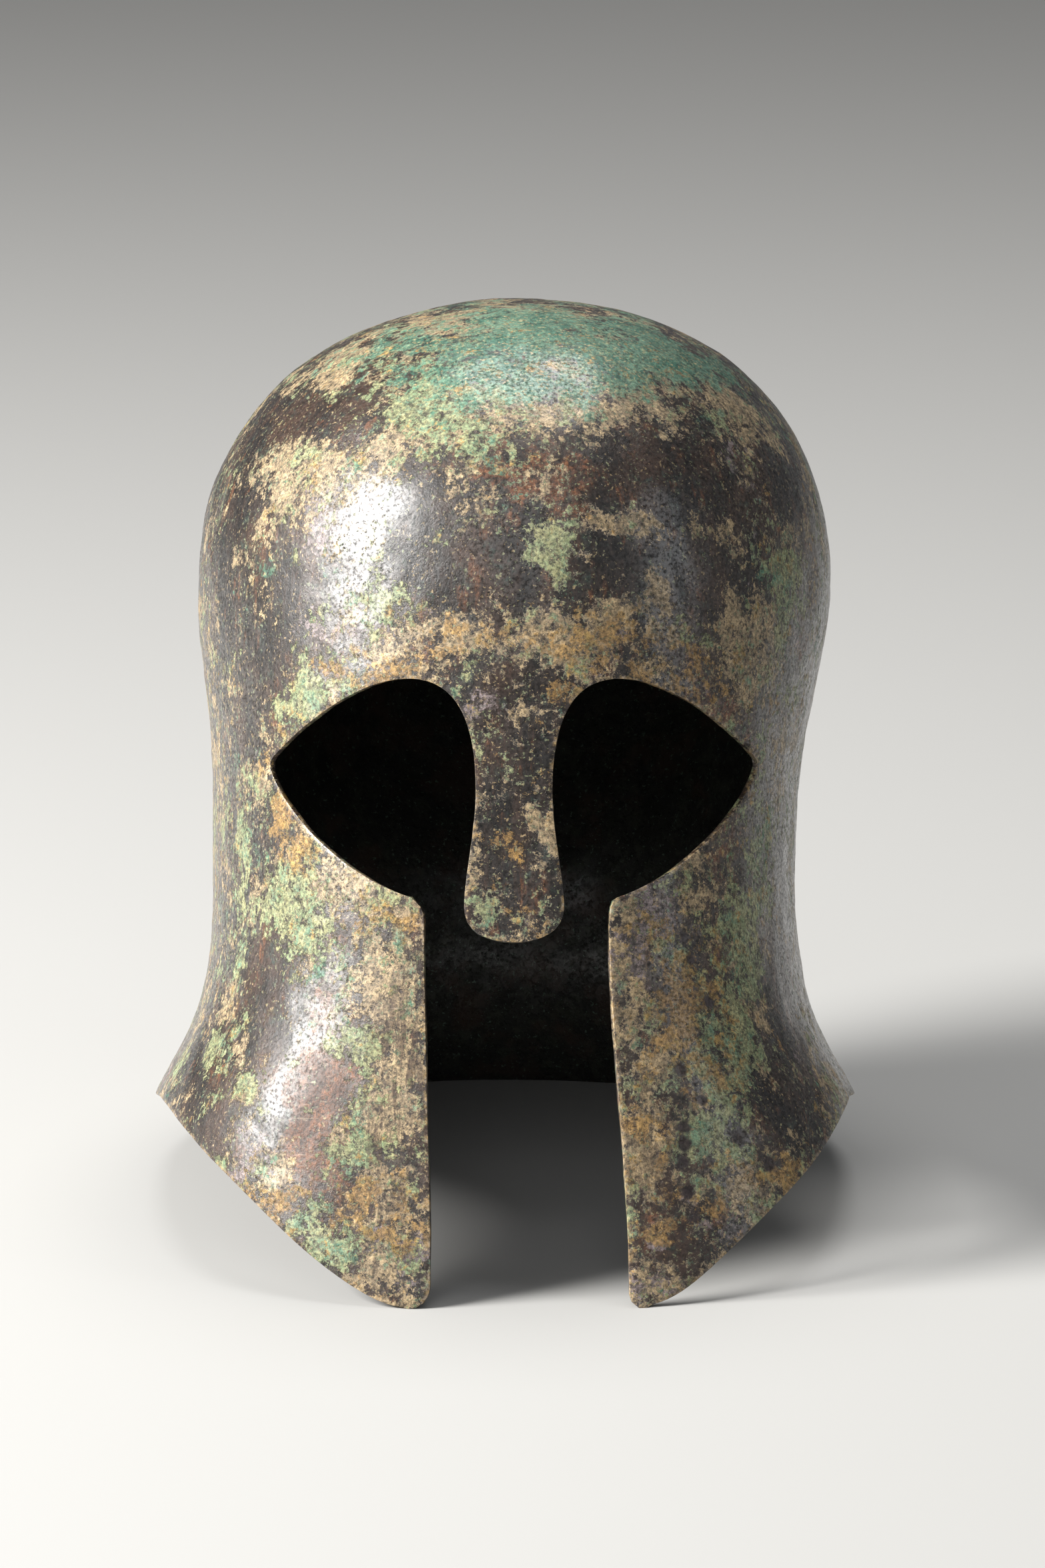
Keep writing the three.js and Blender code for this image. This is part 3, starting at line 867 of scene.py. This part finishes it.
    def stand(self, shell: bmesh.types.BMesh) -> Matrix:
        """Tips the helmet onto its feet, puts it where the frame has it and wears it level."""
        low, high = (Vector(corner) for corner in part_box(self.node))
        tip = Matrix.Rotation(-self.form.standing_tilt(), 4, "X")
        bmesh.ops.transform(shell, matrix=Matrix.Scale(MM, 4) @ tip, verts=shell.verts)
        corners = np.array([vert.co for vert in shell.verts])
        middle = (corners.min(axis=0) + corners.max(axis=0)) / 2
        wear = self.form.standing_wear * MM
        shift = Vector(((low.x + high.x) / 2 - middle[0], (low.y + high.y) / 2 - middle[1],
                        low.z - wear - corners[:, 2].min()))
        bmesh.ops.translate(shell, vec=shift, verts=shell.verts)
        for vert in shell.verts:
            vert.co.z = max(vert.co.z, low.z)
        return Matrix.Translation(shift) @ Matrix.Scale(MM, 4) @ tip

    def build(self) -> tuple[bpy.types.Object, Matrix]:
        """Makes the finished wall.

        Returns:
            The object and the matrix from the upright frame to the scene.
        """
        shell = self.cut_sheet()
        self.raise_sheet(shell)
        rim = [vert.co.copy() for vert in shell.verts if vert.is_boundary]
        self.weather(shell)
        self.thicken(shell)
        shell.normal_update()
        upright = np.array([vert.co for vert in shell.verts])
        facing = np.array([vert.normal.z for vert in shell.verts])
        to_scene = self.stand(shell)
        mesh = bpy.data.meshes.new(self.name)
        shell.to_mesh(mesh)
        shell.free()
        mesh.shade_smooth()
        piece = bpy.data.objects.new(self.name, mesh)
        bpy.context.scene.collection.objects.link(piece)
        self._mark(mesh, upright, facing, rim)
        return piece, to_scene

    def _mark(
        self, mesh: bpy.types.Mesh, upright: np.ndarray, facing: np.ndarray, rim: list[Vector],
    ) -> None:
        """Stores on each vertex its stains, its pits, its distance from the edge and its depth.

        Args:
            mesh: the finished wall.
            upright: each vertex in the upright frame, in millimetres.
            facing: how far each vertex faces up, from -1 to 1.
            rim: points along the edge of the sheet.
        """
        values = {kind.value: pull for kind, pull in StainChart(self.form).amounts(upright).items()}
        tree = kdtree.KDTree(len(rim))
        for i, point in enumerate(rim):
            tree.insert(point, i)
        tree.balance()
        values["rim_distance"] = np.array([tree.find(point)[2] for point in upright])
        azimuth = np.arctan2(upright[:, 0] - self.form.lean(upright[:, 2]), -upright[:, 1])
        depth = self.form.reach(azimuth, upright[:, 2]) - np.hypot(
            upright[:, 0] - self.form.lean(upright[:, 2]), upright[:, 1])
        domed = upright[:, 2] > self.form.widest_height + self.dome_start
        values["depth"] = np.where(domed, np.where(facing < 0, self.deep, 0.0), depth)
        values["pit"] = np.zeros(len(upright))
        for centre, pit in self.pit_places():
            off = np.linalg.norm(upright - np.array(centre), axis=1) / pit.radius
            values["pit"] = np.maximum(values["pit"], np.exp(-off ** 2))
        for title, column in values.items():
            layer = mesh.attributes.new(title, "FLOAT", "POINT")
            layer.data.foreach_set("value", column.astype(np.float32))


# ------------------------------------------------------------------------ finishes


Socket = bpy.types.NodeSocket
Colour = Triple


@dataclass(frozen=True)
class Ramp:
    """A smooth step of a value, from 0 at low to end at high; low may be above high."""

    low: float
    high: float
    end: float = 1.0


@dataclass(frozen=True)
class Pattern:
    """A fractal pattern from about 0.2 to 0.8; its size is that of its blotches, in millimetres.

    The stretch scales the place before the pattern is read, so values under 1 draw it out.
    """

    size: float
    detail: float
    rough: float
    stretch: Triple | None = None
    turn: Triple = (0.0, 0.0, 0.0)


class Wiring:
    """Adds and joins nodes in one node tree."""

    def __init__(self, tree: bpy.types.NodeTree) -> None:
        """Keeps the tree that the nodes go into."""
        self.tree = tree

    def node(self, kind: str, inputs: dict | None = None, **settings: object) -> bpy.types.Node:
        """Adds a node.

        Args:
            kind: Blender's name of the node.
            inputs: a value or another node's socket for each input, by name or index.
            **settings: the node's own settings.

        Returns:
            The node.
        """
        made = self.tree.nodes.new(kind)
        for title, value in settings.items():
            setattr(made, title, value)
        for key, value in (inputs or {}).items():
            socket = made.inputs[key]
            if isinstance(value, bpy.types.NodeSocket):
                self.tree.links.new(value, socket)
            elif socket.type == "RGBA" and len(value) == 3:
                socket.default_value = (*value, 1.0)
            else:
                socket.default_value = value
        return made

    def math(self, operation: str, *values: Socket | float) -> Socket:
        """The result of a maths node on one to three values."""
        return self.node("ShaderNodeMath", dict(enumerate(values)), operation=operation).outputs[0]

    def mix(self, mask: Socket | float, under: Socket | Colour, over: Socket | Colour) -> Socket:
        """The colour over, laid on the colour under by a mask."""
        inputs = {"Factor": mask, 6: under, 7: over}
        return self.node("ShaderNodeMix", inputs, data_type="RGBA", clamp_factor=True).outputs[2]

    def step(self, value: Socket, ramp: Ramp) -> Socket:
        """A smooth step of a value."""
        inputs = {
            "Value": value, "From Min": ramp.low, "From Max": ramp.high, "To Min": 0.0, "To Max": ramp.end}
        return self.node("ShaderNodeMapRange", inputs, interpolation_type="SMOOTHSTEP").outputs[0]

    def noise(self, place: Socket, pattern: Pattern) -> Socket:
        """A pattern's value, read at a place in millimetres."""
        if pattern.stretch:
            mapped = {"Vector": place, "Rotation": pattern.turn, "Scale": pattern.stretch}
            place = self.node("ShaderNodeMapping", mapped).outputs[0]
        inputs = {
            "Vector": place, "Scale": 1 / pattern.size, "Detail": pattern.detail,
            "Roughness": pattern.rough}
        return self.node("ShaderNodeTexNoise", inputs).outputs[0]

    def add(self, value: Socket | float, amount: Socket, factor: float) -> Socket:
        """A value plus an amount times a factor."""
        return self.math("MULTIPLY_ADD", amount, factor, value)

    def times(self, value: Socket | float, factor: Socket | float) -> Socket:
        """A value times a factor."""
        return self.math("MULTIPLY", value, factor)

    def shade(self, colour: Socket, factor: Socket) -> Socket:
        """The colour made darker or lighter by a factor."""
        return self.node("ShaderNodeVectorMath", {0: colour, "Scale": factor}, operation="SCALE").outputs[0]

    def attribute(self, title: str) -> Socket:
        """A value stored on the piece's vertices."""
        stored = self.node("ShaderNodeAttribute", attribute_name=title, attribute_type="GEOMETRY")
        return stored.outputs["Fac"]


def new_group(title: str, inputs: dict[str, tuple[str, object]], outputs: dict[str, str]) -> tuple:
    """Starts a shader node group.

    Args:
        title: the group's name.
        inputs: socket type and starting value of each input.
        outputs: socket type of each output.

    Returns:
        The group, its wiring, its input node's sockets and its output node.
    """
    group = bpy.data.node_groups.new(title, "ShaderNodeTree")
    for name, (kind, start) in inputs.items():
        socket = group.interface.new_socket(name, in_out="INPUT", socket_type=kind)
        if start is not None:
            socket.default_value = start
    for name, kind in outputs.items():
        group.interface.new_socket(name, in_out="OUTPUT", socket_type=kind)
    wiring = Wiring(group)
    entry = group.nodes.new("NodeGroupInput")
    leave = group.nodes.new("NodeGroupOutput")
    return group, wiring, entry.outputs, leave


@dataclass(frozen=True)
class CrustMask:
    """How far a crust covers a place: branching patches that break up into fine grains."""

    title: str = "crust_mask"
    octaves: float = 7.0
    roughness: float = 0.72
    whole: Ramp = Ramp(0.0, 1.0)

    def build(self) -> bpy.types.NodeTree:
        """Makes the group."""
        inputs = {
            "Vector": ("NodeSocketVector", None), "Offset": ("NodeSocketVector", (0.0, 0.0, 0.0)),
            "Size": ("NodeSocketFloat", 18.0), "Pull": ("NodeSocketFloat", 0.0),
            "Level": ("NodeSocketFloat", 0.5), "Softness": ("NodeSocketFloat", 0.03),
            "Grains": ("NodeSocketFloat", 0.5), "Grain": ("NodeSocketFloat", 0.4),
        }
        group, wire, entry, leave = new_group(self.title, inputs, {"Mask": "NodeSocketFloat"})
        moved = wire.node(
            "ShaderNodeVectorMath", {0: entry["Vector"], 1: entry["Offset"]}, operation="ADD").outputs[0]
        broad = wire.node("ShaderNodeTexNoise", {
            "Vector": moved, "Scale": wire.math("DIVIDE", 1.0, entry["Size"]), "Detail": self.octaves,
            "Roughness": self.roughness}).outputs[0]
        grain = wire.math("MULTIPLY", wire.math("SUBTRACT", entry["Grains"], 0.5), entry["Grain"])
        level = wire.math("ADD", wire.math("ADD", broad, entry["Pull"]), grain)
        over = wire.math("DIVIDE", wire.math("SUBTRACT", level, entry["Level"]), entry["Softness"])
        mask = wire.step(wire.math("ADD", over, 0.5), self.whole)
        wire.tree.links.new(mask, leave.inputs["Mask"])
        return group


@dataclass(frozen=True)
class TwoTone:
    """A colour that wanders between two tones, with flecks of a third."""

    title: str = "two_tone"
    tones: Ramp = Ramp(0.38, 0.62)
    dots: Ramp = Ramp(0.53, 0.60)

    def build(self) -> bpy.types.NodeTree:
        """Makes the group."""
        inputs = {
            "Wander": ("NodeSocketFloat", 0.5), "Speck": ("NodeSocketFloat", 0.5),
            "First": ("NodeSocketColor", (0.5, 0.5, 0.5, 1)),
            "Second": ("NodeSocketColor", (0.3, 0.3, 0.3, 1)),
            "Fleck": ("NodeSocketColor", (0.1, 0.1, 0.1, 1)), "Flecks": ("NodeSocketFloat", 0.3),
        }
        group, wire, entry, leave = new_group(self.title, inputs, {"Colour": "NodeSocketColor"})
        tone = wire.mix(wire.step(entry["Wander"], self.tones), entry["First"], entry["Second"])
        dots = wire.times(wire.step(entry["Speck"], self.dots), entry["Flecks"])
        wire.tree.links.new(wire.mix(dots, tone, entry["Fleck"]), leave.inputs["Colour"])
        return group


@dataclass(frozen=True)
class Crust:
    """One kind of crust: its colours and where and how it lies, in millimetres."""

    kind: Stain
    first: Colour
    second: Colour
    fleck: Colour
    size: float
    level: float
    pull: float
    softness: float = 0.035
    grain: float = 0.42
    flecks: float = 0.75
    cover: float = 1.0
    thick: float = 0.0
    rough: float = 0.14


CRUSTS = (
    Crust(Stain.RUST, (0.185, 0.072, 0.028), (0.075, 0.034, 0.021), (0.016, 0.011, 0.010), 10, 0.605, 0.21,
          softness=0.12, grain=0.45, cover=0.85, rough=0.03),
    # The lilac crust also paints the highlight of the lower left cheek, where the lilac patch at -74, -16
    # lies.
    Crust(Stain.LILAC_AND_HIGHLIGHT, (0.290, 0.235, 0.235), (0.170, 0.135, 0.135), (0.035, 0.024, 0.024), 9, 0.640, 0.24,
          softness=0.10, grain=0.7, cover=0.75, rough=0.05),
    # The cream crust also paints the sheen along the crown's top edge, where the cream patch at -16, 230
    # lies.
    Crust(Stain.CREAM_AND_SHEEN, (0.350, 0.260, 0.145), (0.200, 0.150, 0.090), (0.040, 0.028, 0.022), 14, 0.540, 0.20,
          grain=0.90, thick=0.10),
    Crust(Stain.SAGE, (0.165, 0.205, 0.105), (0.270, 0.262, 0.130), (0.040, 0.045, 0.030), 12, 0.585, 0.23,
          grain=0.90, thick=0.13),
    Crust(Stain.SAGE, (0.085, 0.165, 0.110), (0.150, 0.215, 0.135), (0.035, 0.065, 0.050), 7, 0.650, 0.10,
          grain=0.9, cover=0.75),
    Crust(Stain.TEAL, (0.022, 0.110, 0.072), (0.085, 0.185, 0.125), (0.210, 0.220, 0.115), 16, 0.655, 0.33,
          softness=0.14, grain=1.0, flecks=0.7, cover=0.88),
    Crust(Stain.OCHRE, (0.350, 0.205, 0.058), (0.225, 0.132, 0.046), (0.060, 0.035, 0.018), 7, 0.635, 0.20,
          softness=0.08, grain=0.9, cover=0.80),
)


# The patterns that several layers read.
FINE = Pattern(3.2, 6.0, 0.80)
WANDER = Pattern(5.5, 5.0, 0.74)
SPECK = Pattern(1.2, 3.0, 0.62)
GRIT = Pattern(1.1, 3.0, 0.72)
DRAWN = Pattern(2.2, 4.0, 0.65, (1.0, 1.0, 0.07))


@dataclass
class Grounds:
    """The patterns and stored values that all layers of the patina share."""

    wire: Wiring
    upright: Socket

    def __post_init__(self) -> None:
        """Makes the shared patterns."""
        wire = self.wire
        self.fine = wire.noise(self.upright, FINE)
        self.wander = wire.noise(self.upright, WANDER)
        self.speck = wire.noise(self.upright, SPECK)
        self.grit = wire.noise(self.upright, GRIT)
        self.drawn = wire.noise(self.upright, DRAWN)
        self.fine_swing = wire.math("SUBTRACT", self.fine, 0.5)
        self.rim = wire.attribute("rim_distance")
        self.depth = wire.attribute("depth")
        self.pit = wire.attribute("pit")
        self.pulls = {kind: wire.attribute(kind.value) for kind in Stain}


@dataclass(frozen=True)
class MetalLook:
    """The bare metal under the crusts: its colours and where each of them lies."""

    dark: Colour = (0.007, 0.0055, 0.005)
    brown: Colour = (0.038, 0.021, 0.014)
    rust: Colour = (0.115, 0.045, 0.018)
    green: Colour = (0.022, 0.030, 0.024)
    haze: Colour = (0.120, 0.092, 0.066)
    tones: Pattern = Pattern(15.0, 6.0, 0.66, (1.0, 1.0, 0.4))
    tints: Pattern = Pattern(6.0, 5.0, 0.70, (1.0, 1.0, 0.3))
    film: Pattern = Pattern(21.0, 6.0, 0.72)
    brown_at: Ramp = Ramp(0.44, 0.62)
    green_at: Ramp = Ramp(0.55, 0.66)
    brushed_at: Ramp = Ramp(0.50, 0.66, 0.5)
    rust_at: Ramp = Ramp(0.56, 0.68, 0.8)
    haze_at: Ramp = Ramp(0.50, 0.66, 0.45)
    film_grain: float = 0.9
    film_pull: float = -0.22

    def colour(self, grounds: Grounds) -> Socket:
        """The metal's colour: near black, browner and greener in places, brushed and filmed over."""
        wire = grounds.wire
        tones = wire.noise(grounds.upright, self.tones)
        colour = wire.mix(wire.step(tones, self.brown_at), self.dark, self.brown)
        colour = wire.mix(wire.step(grounds.wander, self.green_at), colour, self.green)
        colour = wire.mix(wire.step(grounds.drawn, self.brushed_at), colour, self.brown)
        tints = wire.noise(grounds.upright, self.tints)
        colour = wire.mix(wire.step(tints, self.rust_at), colour, self.rust)
        film = wire.noise(grounds.upright, self.film)
        film = wire.add(film, grounds.fine_swing, self.film_grain)
        film = wire.add(film, grounds.pulls[Stain.DARK], self.film_pull)
        return wire.mix(wire.step(film, self.haze_at), colour, self.haze)


@dataclass(frozen=True)
class WearLook:
    """What lies over the crusts: dirt, dust, brushed streaks, scratches, pits and the worn edge."""

    dirt: Colour = (0.026, 0.019, 0.015)
    cream_dust: Colour = (0.330, 0.240, 0.125)
    sage_dust: Colour = (0.210, 0.235, 0.130)
    streak: Colour = (0.038, 0.021, 0.014)
    worn_edge: Colour = (0.30, 0.235, 0.165)
    ochre_edge: Colour = (0.30, 0.190, 0.075)
    pit_stain: Colour = (0.020, 0.011, 0.012)
    pepper: Pattern = Pattern(2.6, 5.0, 0.74)
    scratches: Pattern = Pattern(0.9, 2.0, 0.5, (0.05, 0.5, 1.0), (0.0, math.radians(38), 0.0))
    hollows_at: Ramp = Ramp(0.50, 0.38, 0.75)
    pepper_at: Ramp = Ramp(0.56, 0.62, 0.85)
    sage_dust_at: Ramp = Ramp(0.46, 0.54)
    dust_at: Ramp = Ramp(0.60, 0.65)
    streaks_at: Ramp = Ramp(0.46, 0.56, 0.65)
    scratches_at: Ramp = Ramp(0.66, 0.72, 0.35)
    ochre_edge_at: Ramp = Ramp(0.44, 0.56)
    edge_at: Ramp = Ramp(1.5, 0.2)
    worn_at: Ramp = Ramp(0.46, 0.60, 0.75)
    pits_at: Ramp = Ramp(0.16, 0.50, 0.95)
    teal_dirt: float = -0.75
    dust: float = 0.7
    dust_pull: float = -0.25
    grit_contrast: float = 3.4
    grit_floor: float = -0.72

    def colour(self, grounds: Grounds, colour: Socket) -> Socket:
        """The colour under it, worn and dusted."""
        wire = grounds.wire
        dirty = wire.add(1.0, grounds.pulls[Stain.TEAL], self.teal_dirt)
        hollows = wire.times(wire.step(grounds.fine, self.hollows_at), dirty)
        colour = wire.mix(hollows, colour, self.dirt)
        pepper = wire.noise(grounds.upright, self.pepper)
        grains = wire.times(wire.step(pepper, self.pepper_at), dirty)
        colour = wire.mix(grains, colour, self.dirt)
        dust = wire.mix(wire.step(grounds.wander, self.sage_dust_at), self.cream_dust, self.sage_dust)
        sparse = wire.add(self.dust, grounds.pulls[Stain.DARK], self.dust_pull)
        colour = wire.mix(wire.times(wire.step(grounds.speck, self.dust_at), sparse), colour, dust)
        streaked = grounds.pulls[Stain.STREAK]
        streaks = wire.times(streaked, wire.step(grounds.drawn, self.streaks_at))
        colour = wire.mix(streaks, colour, self.streak)
        scratches = wire.step(wire.noise(grounds.upright, self.scratches), self.scratches_at)
        colour = wire.mix(wire.times(streaked, scratches), colour, self.worn_edge)
        edge = wire.mix(wire.step(grounds.speck, self.ochre_edge_at), self.worn_edge, self.ochre_edge)
        rubbed = wire.math("ADD", grounds.wander, grounds.fine_swing)
        worn = wire.times(wire.step(grounds.rim, self.edge_at), wire.step(rubbed, self.worn_at))
        colour = wire.mix(worn, colour, edge)
        colour = wire.mix(wire.step(grounds.pit, self.pits_at), colour, self.pit_stain)
        return wire.shade(colour, wire.add(self.grit_floor, grounds.grit, self.grit_contrast))


@dataclass(frozen=True)
class InsideLook:
    """The inside: a dark, dull crust with brown areas and green specks."""

    dark: Colour = (0.008, 0.008, 0.006)
    crust: Colour = (0.022, 0.025, 0.017)
    brown: Colour = (0.038, 0.021, 0.014)
    speck: Colour = (0.085, 0.130, 0.100)
    browned: Pattern = Pattern(24.0, 5.0, 0.65)
    deep_at: Ramp = Ramp(0.75, 1.2)
    off_edge_at: Ramp = Ramp(0.8, 2.6)
    crust_at: Ramp = Ramp(0.48, 0.60)
    brown_at: Ramp = Ramp(0.48, 0.60, 0.7)
    specks_at: Ramp = Ramp(0.62, 0.67, 0.8)
    rough: float = 0.25

    def lay(self, grounds: Grounds, colour: Socket, rough: Socket) -> tuple[Socket, Socket]:
        """Puts the inside's look where the wall faces in.

        Args:
            grounds: the shared patterns.
            colour: the colour outside.
            rough: the roughness outside.

        Returns:
            The colour and the roughness.
        """
        wire = grounds.wire
        inner = wire.times(
            wire.step(grounds.depth, self.deep_at), wire.step(grounds.rim, self.off_edge_at))
        dull = wire.mix(wire.step(grounds.wander, self.crust_at), self.dark, self.crust)
        browned = wire.noise(grounds.upright, self.browned)
        dull = wire.mix(wire.step(browned, self.brown_at), dull, self.brown)
        dull = wire.mix(wire.step(grounds.speck, self.specks_at), dull, self.speck)
        return wire.mix(inner, colour, dull), wire.add(rough, inner, self.rough)


@dataclass(frozen=True)
class PatinaFinish:
    """The patina of buried bronze, worn and waxed."""

    title: str = "patinated_bronze"
    crusts: tuple[Crust, ...] = CRUSTS
    metal: MetalLook = MetalLook()
    wear: WearLook = WearLook()
    inside: InsideLook = InsideLook()
    dark_pull: float = -0.21
    gloss: float = 0.34
    gloss_swing: float = 0.12
    brushed_rough: float = 0.17
    wax: float = 0.90
    crust_wax: float = 0.54
    brushed_wax: float = -0.75
    waxed_at: Ramp = Ramp(0.34, 0.60, 1.25)
    wax_rough: float = 0.27
    tooth: float = 0.26
    grit: float = 0.16
    index: float = 1.45
    offset: Triple = (17.0, 31.0, 11.0)

    def build(self, to_scene: Matrix) -> bpy.types.Material:
        """Makes the material.

        Args:
            to_scene: the matrix from the upright frame to the scene.

        Returns:
            The material.
        """
        material = bpy.data.materials.new(self.title)
        material.use_nodes = True
        material.node_tree.nodes.clear()
        wire = Wiring(material.node_tree)
        back = to_scene.inverted()
        upright = wire.node("ShaderNodeMapping", {
            "Vector": wire.node("ShaderNodeTexCoord").outputs["Object"],
            "Location": back.to_translation(), "Rotation": back.to_euler(),
            "Scale": back.to_scale()}).outputs[0]
        grounds = Grounds(wire, upright)

        colour, rough, height, bare = self._crusts(grounds, self.metal.colour(grounds))
        colour = self.wear.colour(grounds, colour)
        colour, rough = self.inside.lay(grounds, colour, rough)
        shader = wire.node("ShaderNodeBsdfPrincipled", {
            "Base Color": colour, "IOR": self.index,
            "Roughness": wire.add(rough, grounds.pulls[Stain.STREAK], self.brushed_rough),
            "Normal": self._bump(grounds, height),
            "Coat Weight": self._wax(grounds, bare), "Coat Roughness": self.wax_rough})
        out = wire.node("ShaderNodeOutputMaterial")
        wire.tree.links.new(shader.outputs[0], out.inputs["Surface"])
        return material

    def _wax(self, grounds: Grounds, bare: Socket) -> Socket:
        """The share of wax: most on bare metal, broken up by grit and thin where brushed."""
        wire = grounds.wire
        wax = wire.add(self.crust_wax, bare, self.wax - self.crust_wax)
        wax = wire.times(wax, wire.step(grounds.grit, self.waxed_at))
        return wire.times(wax, wire.add(1.0, grounds.pulls[Stain.STREAK], self.brushed_wax))

    def _bump(self, grounds: Grounds, height: Socket) -> Socket:
        """The normal of the crusts' height with fine grains and grit on it."""
        wire = grounds.wire
        height = wire.add(height, grounds.fine, self.tooth)
        height = wire.add(height, grounds.grit, self.grit)
        inputs = {"Height": wire.times(height, MM), "Strength": 1.0, "Distance": 1.0}
        return wire.node("ShaderNodeBump", inputs).outputs[0]

    def _crusts(self, grounds: Grounds, colour: Socket) -> tuple[Socket, Socket, Socket, Socket]:
        """Lays every crust on the metal.

        Args:
            grounds: the shared patterns.
            colour: the colour under the crusts.

        Returns:
            The colour, the roughness, the height of the crusts in millimetres, and the
            share of bare metal.
        """
        wire = grounds.wire
        mask_group = CrustMask().build()
        tone_group = TwoTone().build()
        rough = wire.add(self.gloss - self.gloss_swing / 2, grounds.wander, self.gloss_swing)
        height = 0.0
        bare = 1.0
        dark = wire.times(grounds.pulls[Stain.DARK], self.dark_pull)
        for place, crust in enumerate(self.crusts, start=1):
            mask = wire.node("ShaderNodeGroup", {
                "Vector": grounds.upright, "Offset": tuple(place * step for step in self.offset),
                "Size": crust.size, "Pull": wire.add(dark, grounds.pulls[crust.kind], crust.pull),
                "Level": crust.level, "Softness": crust.softness, "Grains": grounds.fine,
                "Grain": crust.grain}, node_tree=mask_group).outputs["Mask"]
            tone = wire.node("ShaderNodeGroup", {
                "Wander": grounds.wander, "Speck": grounds.speck, "First": crust.first,
                "Second": crust.second, "Fleck": crust.fleck, "Flecks": crust.flecks},
                node_tree=tone_group).outputs["Colour"]
            cover = wire.times(mask, crust.cover)
            colour = wire.mix(cover, colour, tone)
            rough = wire.add(rough, cover, crust.rough)
            bare = wire.times(bare, wire.math("SUBTRACT", 1.0, cover))
            if crust.thick:
                height = wire.add(height, mask, crust.thick)
        return colour, rough, height, bare


@dataclass(frozen=True)
class FloorFinish:
    """Plain pale matt floor."""

    title: str = "pale_floor"
    colour: Colour = (0.34, 0.337, 0.328)
    rough: float = 0.8

    def build(self) -> bpy.types.Material:
        """Makes the material."""
        material = bpy.data.materials.new(self.title)
        material.use_nodes = True
        shader = material.node_tree.nodes["Principled BSDF"]
        shader.inputs["Base Color"].default_value = (*self.colour, 1)
        shader.inputs["Roughness"].default_value = self.rough
        return material


# -------------------------------------------------------------------------- studio


@dataclass(frozen=True)
class SoftLight:
    """A soft rectangular light, placed by its direction from the helmet."""

    name: str
    azimuth: float
    elevation: float
    distance: float
    wide: float
    tall: float
    power: float
    colour: Colour = (1.0, 1.0, 1.0)

    def build(self, target: Vector) -> None:
        """Adds the light, turned towards the target."""
        turn, rise = math.radians(self.azimuth), math.radians(self.elevation)
        way = Vector((math.sin(turn) * math.cos(rise), -math.cos(turn) * math.cos(rise), math.sin(rise)))
        data = bpy.data.lights.new(self.name, "AREA")
        data.shape = "RECTANGLE"
        data.size, data.size_y = self.wide, self.tall
        data.energy = self.power
        data.color = self.colour
        light = bpy.data.objects.new(self.name, data)
        light.location = target + way * self.distance
        light.rotation_euler = (-way).to_track_quat("-Z", "Y").to_euler()
        bpy.context.scene.collection.objects.link(light)


@dataclass
class Studio:
    """The floor, the soft lights and the camera."""

    camera_place: Triple = (2.4, -2800.0, 92.2)
    lens: float = 214.2
    sensor: float = 36.0
    far: float = 60.0
    floor_size: float = 14.0
    sky: Colour = (0.95, 0.97, 1.0)
    sky_strength: float = 0.13
    lights: tuple[SoftLight, ...] = (
        SoftLight("key", -74, 29, 2.4, 0.90, 1.05, 205.0, (1.0, 0.985, 0.96)),
        SoftLight("front_fill", -8, 40, 2.4, 1.6, 1.6, 12.0),
        SoftLight("right_fill", 66, 22, 1.9, 0.5, 1.2, 4.5, (0.94, 0.97, 1.0)),
        SoftLight("top", 176, 72, 1.9, 0.9, 0.9, 24.0),
    )

    def build(self, to_scene: Matrix, middle: Vector) -> None:
        """Sets up the studio.

        Args:
            to_scene: the matrix from the helmet's upright frame to the scene.
            middle: what the lights are turned towards.
        """
        self._camera(to_scene)
        self._floor()
        for light in self.lights:
            light.build(middle)
        world = bpy.data.worlds.new("studio")
        world.use_nodes = True
        background = world.node_tree.nodes["Background"]
        background.inputs["Color"].default_value = (*self.sky, 1)
        background.inputs["Strength"].default_value = self.sky_strength
        bpy.context.scene.world = world
        bpy.context.scene.view_settings.view_transform = "Standard"

    def _camera(self, to_scene: Matrix) -> None:
        """Adds the camera, level with the upright helmet's face."""
        data = bpy.data.cameras.new("camera")
        data.lens = self.lens
        data.sensor_width = self.sensor
        data.clip_end = self.far
        camera = bpy.data.objects.new("camera", data)
        camera.location = to_scene @ Vector(self.camera_place)
        tip = to_scene.to_euler().x
        camera.rotation_euler = (math.pi / 2 + tip, 0, 0)
        bpy.context.scene.collection.objects.link(camera)
        bpy.context.scene.camera = camera

    def _floor(self) -> None:
        """Adds the floor that the helmet stands on."""
        plane = bmesh.new()
        bmesh.ops.create_grid(plane, x_segments=1, y_segments=1, size=self.floor_size / 2)
        mesh = bpy.data.meshes.new("floor")
        plane.to_mesh(mesh)
        plane.free()
        mesh.materials.append(FloorFinish().build())
        floor = bpy.data.objects.new("floor", mesh)
        bpy.context.scene.collection.objects.link(floor)


def main() -> None:
    """Loads the frame, builds and dresses the helmet and sets up the studio."""
    logging.basicConfig(level=logging.INFO, format="%(name)s: %(message)s")
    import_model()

    shell = HelmetShell()
    piece, to_scene = shell.build()
    piece.data.materials.append(PatinaFinish().build(to_scene))
    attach(piece, "root")
    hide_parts(shell.node)
    triangles = sum(len(face.vertices) - 2 for face in piece.data.polygons)
    LOG.info("%s: %d triangles", piece.name, triangles)

    low, high = (Vector(corner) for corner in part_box(shell.node))
    Studio().build(to_scene, (low + high) / 2)


if __name__ == "__main__":
    main()
